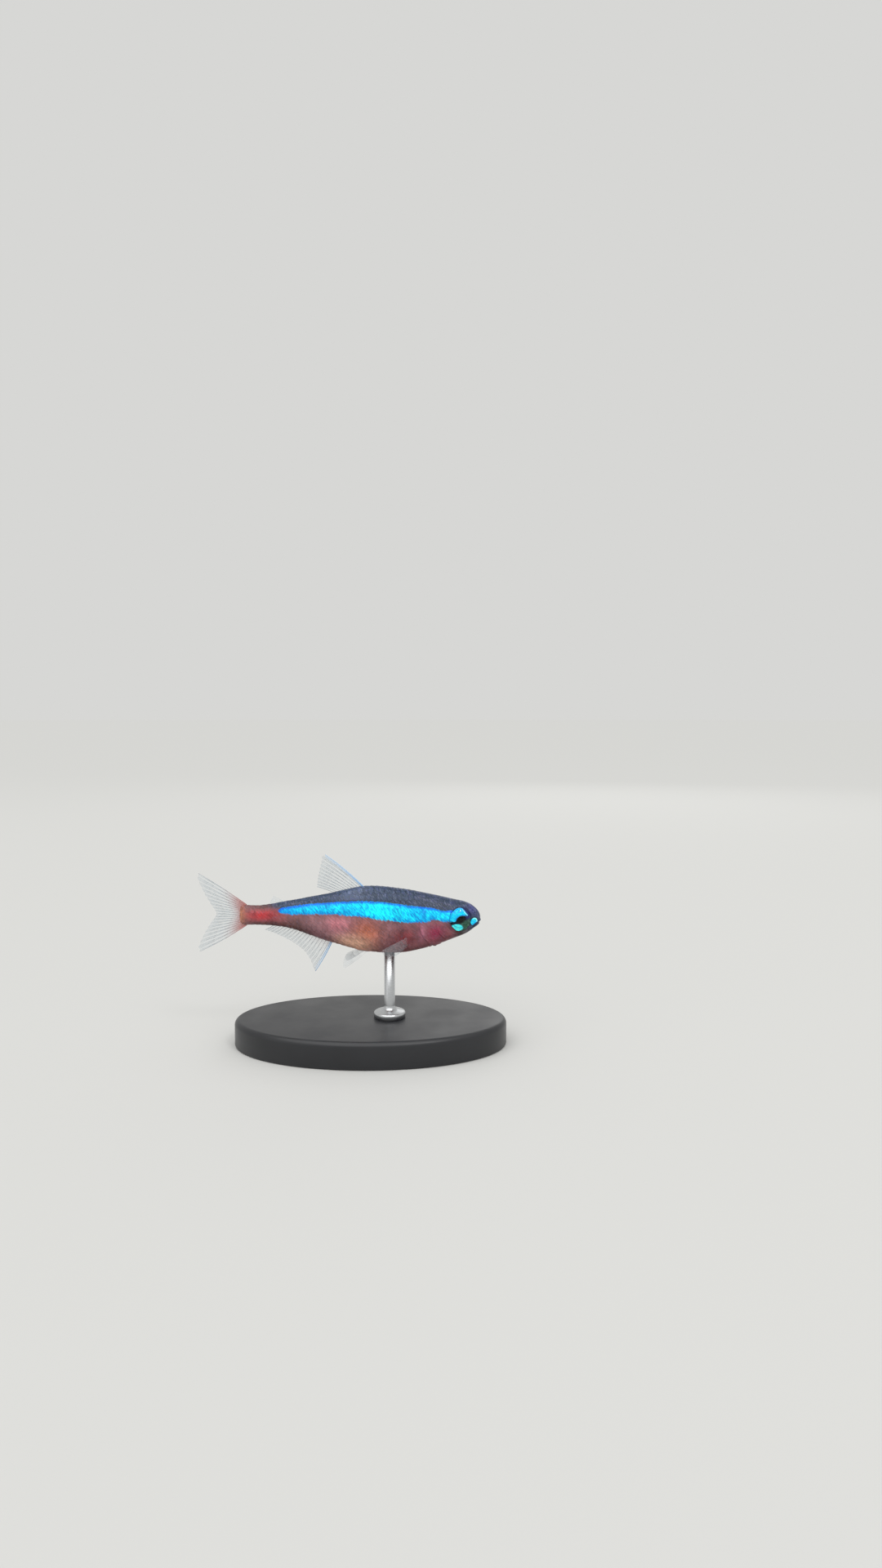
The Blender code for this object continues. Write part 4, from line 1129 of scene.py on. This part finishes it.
membrane = membraneMaterial("fin membrane, clear and wet", 0.09, 0.18, 1.0)
thinMembrane = membraneMaterial("membrane of the paired fins, very clear", 0.04, 0.09, 0.6)
ray = rayMaterial("fin rays, milky horn in joints", "#AEB9C2", "#74808A", 0.42, 0.0)
thinRay = rayMaterial("fin rays of the paired fins, thin horn", "#B6C0C8", "#8A949C", 0.22, 0.0, True)
# The first rays carry a little painted glow
brightRay = rayMaterial("first fin rays, blue-white crystal", "#A8CCEE", "#7FB4E2", 0.85, 0.08)


# A sheet of even thickness about place(u, v), thinner to its margin. Its free edge dips a little
# between rays, by a cosine of the ray number. Both faces are joined round the border.
def buildSheet(name, place, rays, thick, redBase, replaces, material, scallop=0.025):
    columns, down = (rays - 1) * fin["perRay"] + 1, fin["down"]
    u, t = np.meshgrid(np.linspace(0, 1, columns), np.linspace(0, 1, down), indexing="ij")
    dip = 0.5 - 0.5 * np.cos(2 * math.pi * u * (rays - 1))
    v = fin["start"] + (1 - fin["start"]) * t * (1 - scallop * dip * t**6)
    centre = place(u, v)
    normal = gridNormals(centre, False)
    half = (thick + (fin["margin"] - thick) * t**2)[..., None] / 2
    quads = slabQuads(columns, down)
    points = np.stack([centre + normal * half, centre - normal * half]).reshape(-1, 3)
    walked = np.linalg.norm(centre - place(u, 0 * v), axis=-1)
    red = redBase * smoothStep(0.55, 0.0, t)
    marks = np.tile(np.stack([u * 8, walked, red], -1).reshape(-1, 3), (2, 1))
    piece = makePiece(name, swum(points), quads, [], material, {"finPlace": marks})
    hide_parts(replaces)


# Each ray is a trunk that forks twice, into two and then four tubes. A row of the table is one tube:
# its place across the fin, its shift at start and end, start, end and radii.
def branchedRays(at, spacing, thick):
    table, before = [], [0.0]
    for start, end, spread, wide, narrow in fin["forks"]:
        after = []
        for first in before:
            for last in (first - spread, first + spread) if spread else (first,):
                shape = [first * spacing, last * spacing, start, end, thick * wide, thick * narrow]
                table.append(np.column_stack([at, np.tile(shape, (len(at), 1))]))
                after.append(last)
        before = after
    return np.concatenate(table)


# Many tubes at once: an ellipse is carried along each line, wide in the sheet and thick across it,
# shrinking to the tip, and both ends are closed by a point.
def buildRays(name, place, table, redBase, material):
    sides, down = fin["tubeSides"], fin["tubeRings"]
    t = np.linspace(0, 1, down)[None, :]
    at, first, last, start, end, wide, narrow = (table[:, k, None] for k in range(7))
    u = np.clip(at + first + (last - first) * smoothStep(0, 1, t), 0, 1)
    reach = start + (end - start) * t
    v = fin["start"] + (fin["reach"] - fin["start"]) * reach
    centre = place(u, v)
    step = 0.004
    inward = np.where(u > 0.5, -step, step)
    forward = unit(place(u, v + step) - place(u, v - step))
    sideways = (place(u + inward, v) - centre) * np.sign(inward)[..., None]
    normal = unit(np.cross(forward, sideways))
    sideways = np.cross(normal, forward)
    radius = (wide + (narrow - wide) * t)[..., None, None]
    a = np.linspace(0, 2 * math.pi, sides, endpoint=False)[None, None, :, None]
    ring = np.cos(a) * sideways[:, :, None] * radius * 0.85 + np.sin(a) * normal[:, :, None] * radius
    tubes = centre[:, :, None] + ring
    count, size = len(table), down * sides + 2
    ends = np.stack([centre[:, 0], centre[:, -1] + forward[:, -1] * 0.01], 1)
    points = np.concatenate([tubes.reshape(count, -1, 3), ends], axis=1).reshape(-1, 3)
    quads = forEachPart(gridQuads(down, sides, True), count, size)
    fans = forEachPart(endFans(down, sides), count, size)
    walked = np.linalg.norm(centre - place(u, 0 * v), axis=-1)
    marks = np.stack([u * 8, walked, redBase * smoothStep(0.6, 0.0, reach) + 0 * u], -1)
    marks = np.repeat(marks[:, :, None], sides, axis=2).reshape(count, -1, 3)
    marks = np.concatenate([marks, marks[:, :1], marks[:, -1:]], axis=1).reshape(-1, 3)
    makePiece(name, swum(points), quads, fans, material, {"finPlace": marks})


# Each fin: its shape, the number and half width of its rays, how red the flesh makes its root, how
# many of its first rays are bright, its membrane and its horn.
fins = {
    "dorsal_fin": (dorsalPlace, 11, 0.055, 0.0, 1, membrane, ray),
    "anal_fin": (analPlace, 19, 0.042, 0.25, 1, membrane, ray),
    "caudal_fin": (caudalPlace, 19, 0.055, 0.9, 0, membrane, ray),
    "pectoral_fin_right": (partial(pectoralPlace, -1), 11, 0.027, 0.0, 0, thinMembrane, thinRay),
    "pectoral_fin_left": (partial(pectoralPlace, 1), 11, 0.027, 0.0, 0, thinMembrane, thinRay),
    "pelvic_fin_right": (partial(pelvicPlace, -1), 8, 0.03, 0.0, 0, thinMembrane, thinRay),
    "pelvic_fin_left": (partial(pelvicPlace, 1), 8, 0.03, 0.0, 0, thinMembrane, thinRay),
}


def buildFins():
    for name, (place, rays, half, red, bright, sheet, horn) in fins.items():
        buildSheet(name + "_membrane", place, rays, fin["membrane"], red, name, sheet)
        spacing = 1 / (rays - 1)
        at = np.arange(bright, rays) * spacing
        buildRays(name + "_rays", place, branchedRays(at, spacing, half), red, horn)
        if bright:
            # The first ray is one strong tube, with a finer one beside it
            table = np.array([[0.004, 0, 0, 0, 1, 0.1, 0.05], [0.5 * spacing, 0, 0, 0, 0.96, 0.07, 0.03]])
            buildRays(name + "_first_rays", place, table, 0.0, brightRay)
    buildSheet("adipose_fin_flap", adiposePlace, 4, 0.3, 0.3, "adipose_fin", membrane, 0.0)
    print("fins:", len(fins) + 1)


buildFins()


# Stand

stand = {
    "length": 36.0,
    "width": 21.0,
    "thick": 3.5,
    "edge": 0.7,
    "inner": 8.0,  # how far inside the edge the innermost rings of top and bottom lie
    "rodRadius": 0.7,
    "rodFromSnout": 12.0,
    "footRadius": 2.1,
    "footHeight": 0.6,
    "gap": 0.3,  # from the base's top to where the foot's curve is measured from
}


# Satin black acrylic: clouds of 4 mm in its gloss, a fine even grain of 0.15 mm, soft highlights.
def mouldedBlack():
    material, tree, shader, add = newMaterial("black acrylic, satin from the mould")
    where = add("TexCoord")["Object"]
    grain = add("TexNoise", {"Vector": where, "Scale": 6500.0, "Detail": 2.0})[0]
    cloud = add("TexNoise", {"Vector": where, "Scale": 220.0, "Detail": 3.0})[0]
    darker, lighter = linearColour("#1B1C1F"), linearColour("#26272B")
    finish = {
        "Base Color": add("Mix", {0: cloud, 6: darker, 7: lighter}, data_type="RGBA")[2],
        "Roughness": add("MapRange", (cloud, 0.3, 0.7, 0.3, 0.42))[0],
        "Normal": add("Bump", {"Strength": 0.12, "Distance": 0.03 * mm, "Height": grain})[0],
    }
    fillInputs(tree, shader, finish)
    return material


# Stainless steel rod, turned: fine rings round it, 0.12 mm apart, that break up the highlight.
def turnedSteel():
    material, tree, shader, add = newMaterial("stainless steel, turned and satin")
    squeezed = add("Mapping", {"Vector": add("TexCoord")["Object"], "Scale": (300.0, 300.0, 8300.0)})[0]
    rings = add("TexNoise", {"Vector": squeezed, "Scale": 1.0, "Detail": 3.0})[0]
    finish = {
        "Base Color": linearColour("#C4C6C8"),
        "Metallic": 1.0,
        "Roughness": add("MapRange", (rings, 0.3, 0.7, 0.24, 0.38))[0],
        "Normal": add("Bump", {"Strength": 0.2, "Distance": 0.01 * mm, "Height": rings})[0],
    }
    fillInputs(tree, shader, finish)
    return material


def buildStand():
    n = stand
    # Base: a quarter-round edge over a straight side, its rings scaled to an oval
    turn = np.linspace(0, math.pi / 2, 9)
    rounded = [(-n["edge"] * (1 - math.sin(a)), n["thick"] - n["edge"] * (1 - math.cos(a))) for a in turn]
    under = [(0.0, 0.25), (-0.12, 0.06), (-0.3, 0.0), (-n["inner"], 0.0)]
    rings = [(-n["inner"], n["thick"])] + rounded + under
    inset, z = np.array(rings).T
    a = np.linspace(0, 2 * math.pi, 144, endpoint=False)
    x = (n["length"] / 2 + inset)[:, None] * np.cos(a)
    y = (n["width"] / 2 + inset)[:, None] * np.sin(a)
    grid = np.stack([x, y, z[:, None] + 0 * x], -1) * mm
    flat, quads, fans = closedRings(grid, [[0, 0, n["thick"] * mm], [0, 0, 0]])
    base = makePiece("stand_base_oval", flat, quads, fans, mouldedBlack())
    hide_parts("stand_base")
    belly = fish["axisHeight"] - float(throughStations(2, np.array(n["rodFromSnout"])))
    foot, wide, tall, thin = n["thick"] + n["gap"], n["footRadius"], n["footHeight"], n["rodRadius"]
    profile = [
        (0.0, belly + 0.1),
        (thin, belly + 0.1),
        (thin, foot + tall * 2.2),
        (thin * 1.08, foot + tall * 1.7),
        (thin * 1.35, foot + tall * 1.3),
        (wide * 0.62, foot + tall),
        (wide * 0.9, foot + tall * 0.86),
        (wide * 0.98, foot + tall * 0.66),
        (wide, foot + tall * 0.4),
        (wide, n["thick"] - 0.02),
        (0.0, n["thick"] - 0.02),
    ]
    centre = np.array([fish["snoutX"] - n["rodFromSnout"], 0.0, 0.0])

    def placed(points):
        return (points + centre) * mm

    rod = turnedPiece("stand_rod_turned", profile, 64, placed, turnedSteel())
    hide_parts("stand_rod")
    print("stand: base and rod")


buildStand()


# Camera, floor and light

photo = {
    "width": 1080,
    "height": 1920,
    "snoutPixel": (588, 1122),
    "pixelsPerMm": 9.27,
    "fieldDegrees": 49.6,  # across the width, as a phone's main camera held upright
    "pitchDegrees": 4.0,
}


def placeCamera():
    n = photo
    focal = n["width"] / 2 / math.tan(math.radians(n["fieldDegrees"] / 2))
    pitch = math.radians(n["pitchDegrees"])
    right = Vector((1, 0, 0))
    up = Vector((0, math.sin(pitch), math.cos(pitch)))
    ahead = Vector((0, math.cos(pitch), -math.sin(pitch)))
    snout = Vector((fish["snoutX"], 0, fish["axisHeight"]))
    dx = (n["snoutPixel"][0] - n["width"] / 2) / n["pixelsPerMm"]
    dy = (n["height"] / 2 - n["snoutPixel"][1]) / n["pixelsPerMm"]
    place = snout - ahead * (focal / n["pixelsPerMm"]) - right * dx - up * dy
    data = bpy.data.cameras.new("camera")
    data.sensor_width = 36.0  # along the picture's long side
    data.lens = 36.0 * focal / n["height"]
    data.clip_start, data.clip_end = 0.005, 40.0
    camera = bpy.data.objects.new("camera", data)
    camera.location = place * mm
    camera.rotation_euler = (math.pi / 2 - pitch, 0, 0)
    bpy.context.scene.collection.objects.link(camera)
    bpy.context.scene.camera = camera
    print("camera at", [round(c, 1) for c in place], "mm")


placeCamera()


# The overhead sun is a wide soft light that reaches the whole floor evenly. Its power brings the card
# to the room's own tone, so that hardly a horizon shows.
stage = {"radius": 15.0, "card": "#CDCDCB", "room": "#D7D7D5"}
lights = {
    "key": {"from": (0.22, -0.30, 0.42), "size": 0.12, "power": 0.3},
    "fill": {"from": (-0.42, -0.30, 0.16), "size": 0.36, "power": 0.1},
    "rim": {"from": (0.10, 0.42, 0.22), "size": 0.24, "power": 0.1},
    "overhead": {"from": (-0.15, -0.45, 1.0), "angle": 70, "power": 1.48},
}


def buildStage():
    n = stage
    around = np.linspace(0, 2 * math.pi, 96, endpoint=False)
    points = np.stack([n["radius"] * np.cos(around), n["radius"] * np.sin(around), 0 * around], -1)
    mesh = bpy.data.meshes.new("floor")
    mesh.from_pydata(points.tolist(), [], [list(range(len(around)))])
    floor = bpy.data.objects.new("floor", mesh)
    bpy.context.scene.collection.objects.link(floor)
    card, tree, shader, _ = newMaterial("pale card, matt")
    finish = {"Base Color": linearColour(n["card"]), "Roughness": 0.9, "Specular IOR Level": 0.0}
    fillInputs(tree, shader, finish)
    mesh.materials.append(card)


def placeLights():
    aim = Vector((0.0, 0.0, fish["axisHeight"] * mm))
    for name, n in lights.items():
        way = Vector(n["from"])
        if "angle" in n:
            data = bpy.data.lights.new(name, "SUN")
            data.angle = math.radians(n["angle"])
        else:
            data = bpy.data.lights.new(name, "AREA")
            data.shape, data.size = "DISK", n["size"]
        data.energy = n["power"]
        lamp = bpy.data.objects.new(name, data)
        lamp.location = way
        lamp.rotation_euler = (aim - way).to_track_quat("-Z", "Y").to_euler()
        bpy.context.scene.collection.objects.link(lamp)
    world = bpy.data.worlds.new("soft room")
    world.use_nodes = True
    world.node_tree.nodes["Background"].inputs["Color"].default_value = linearColour(stage["room"])
    bpy.context.scene.world = world
    bpy.context.scene.view_settings.view_transform = "Standard"
    print("lights:", len(lights))


buildStage()
placeLights()
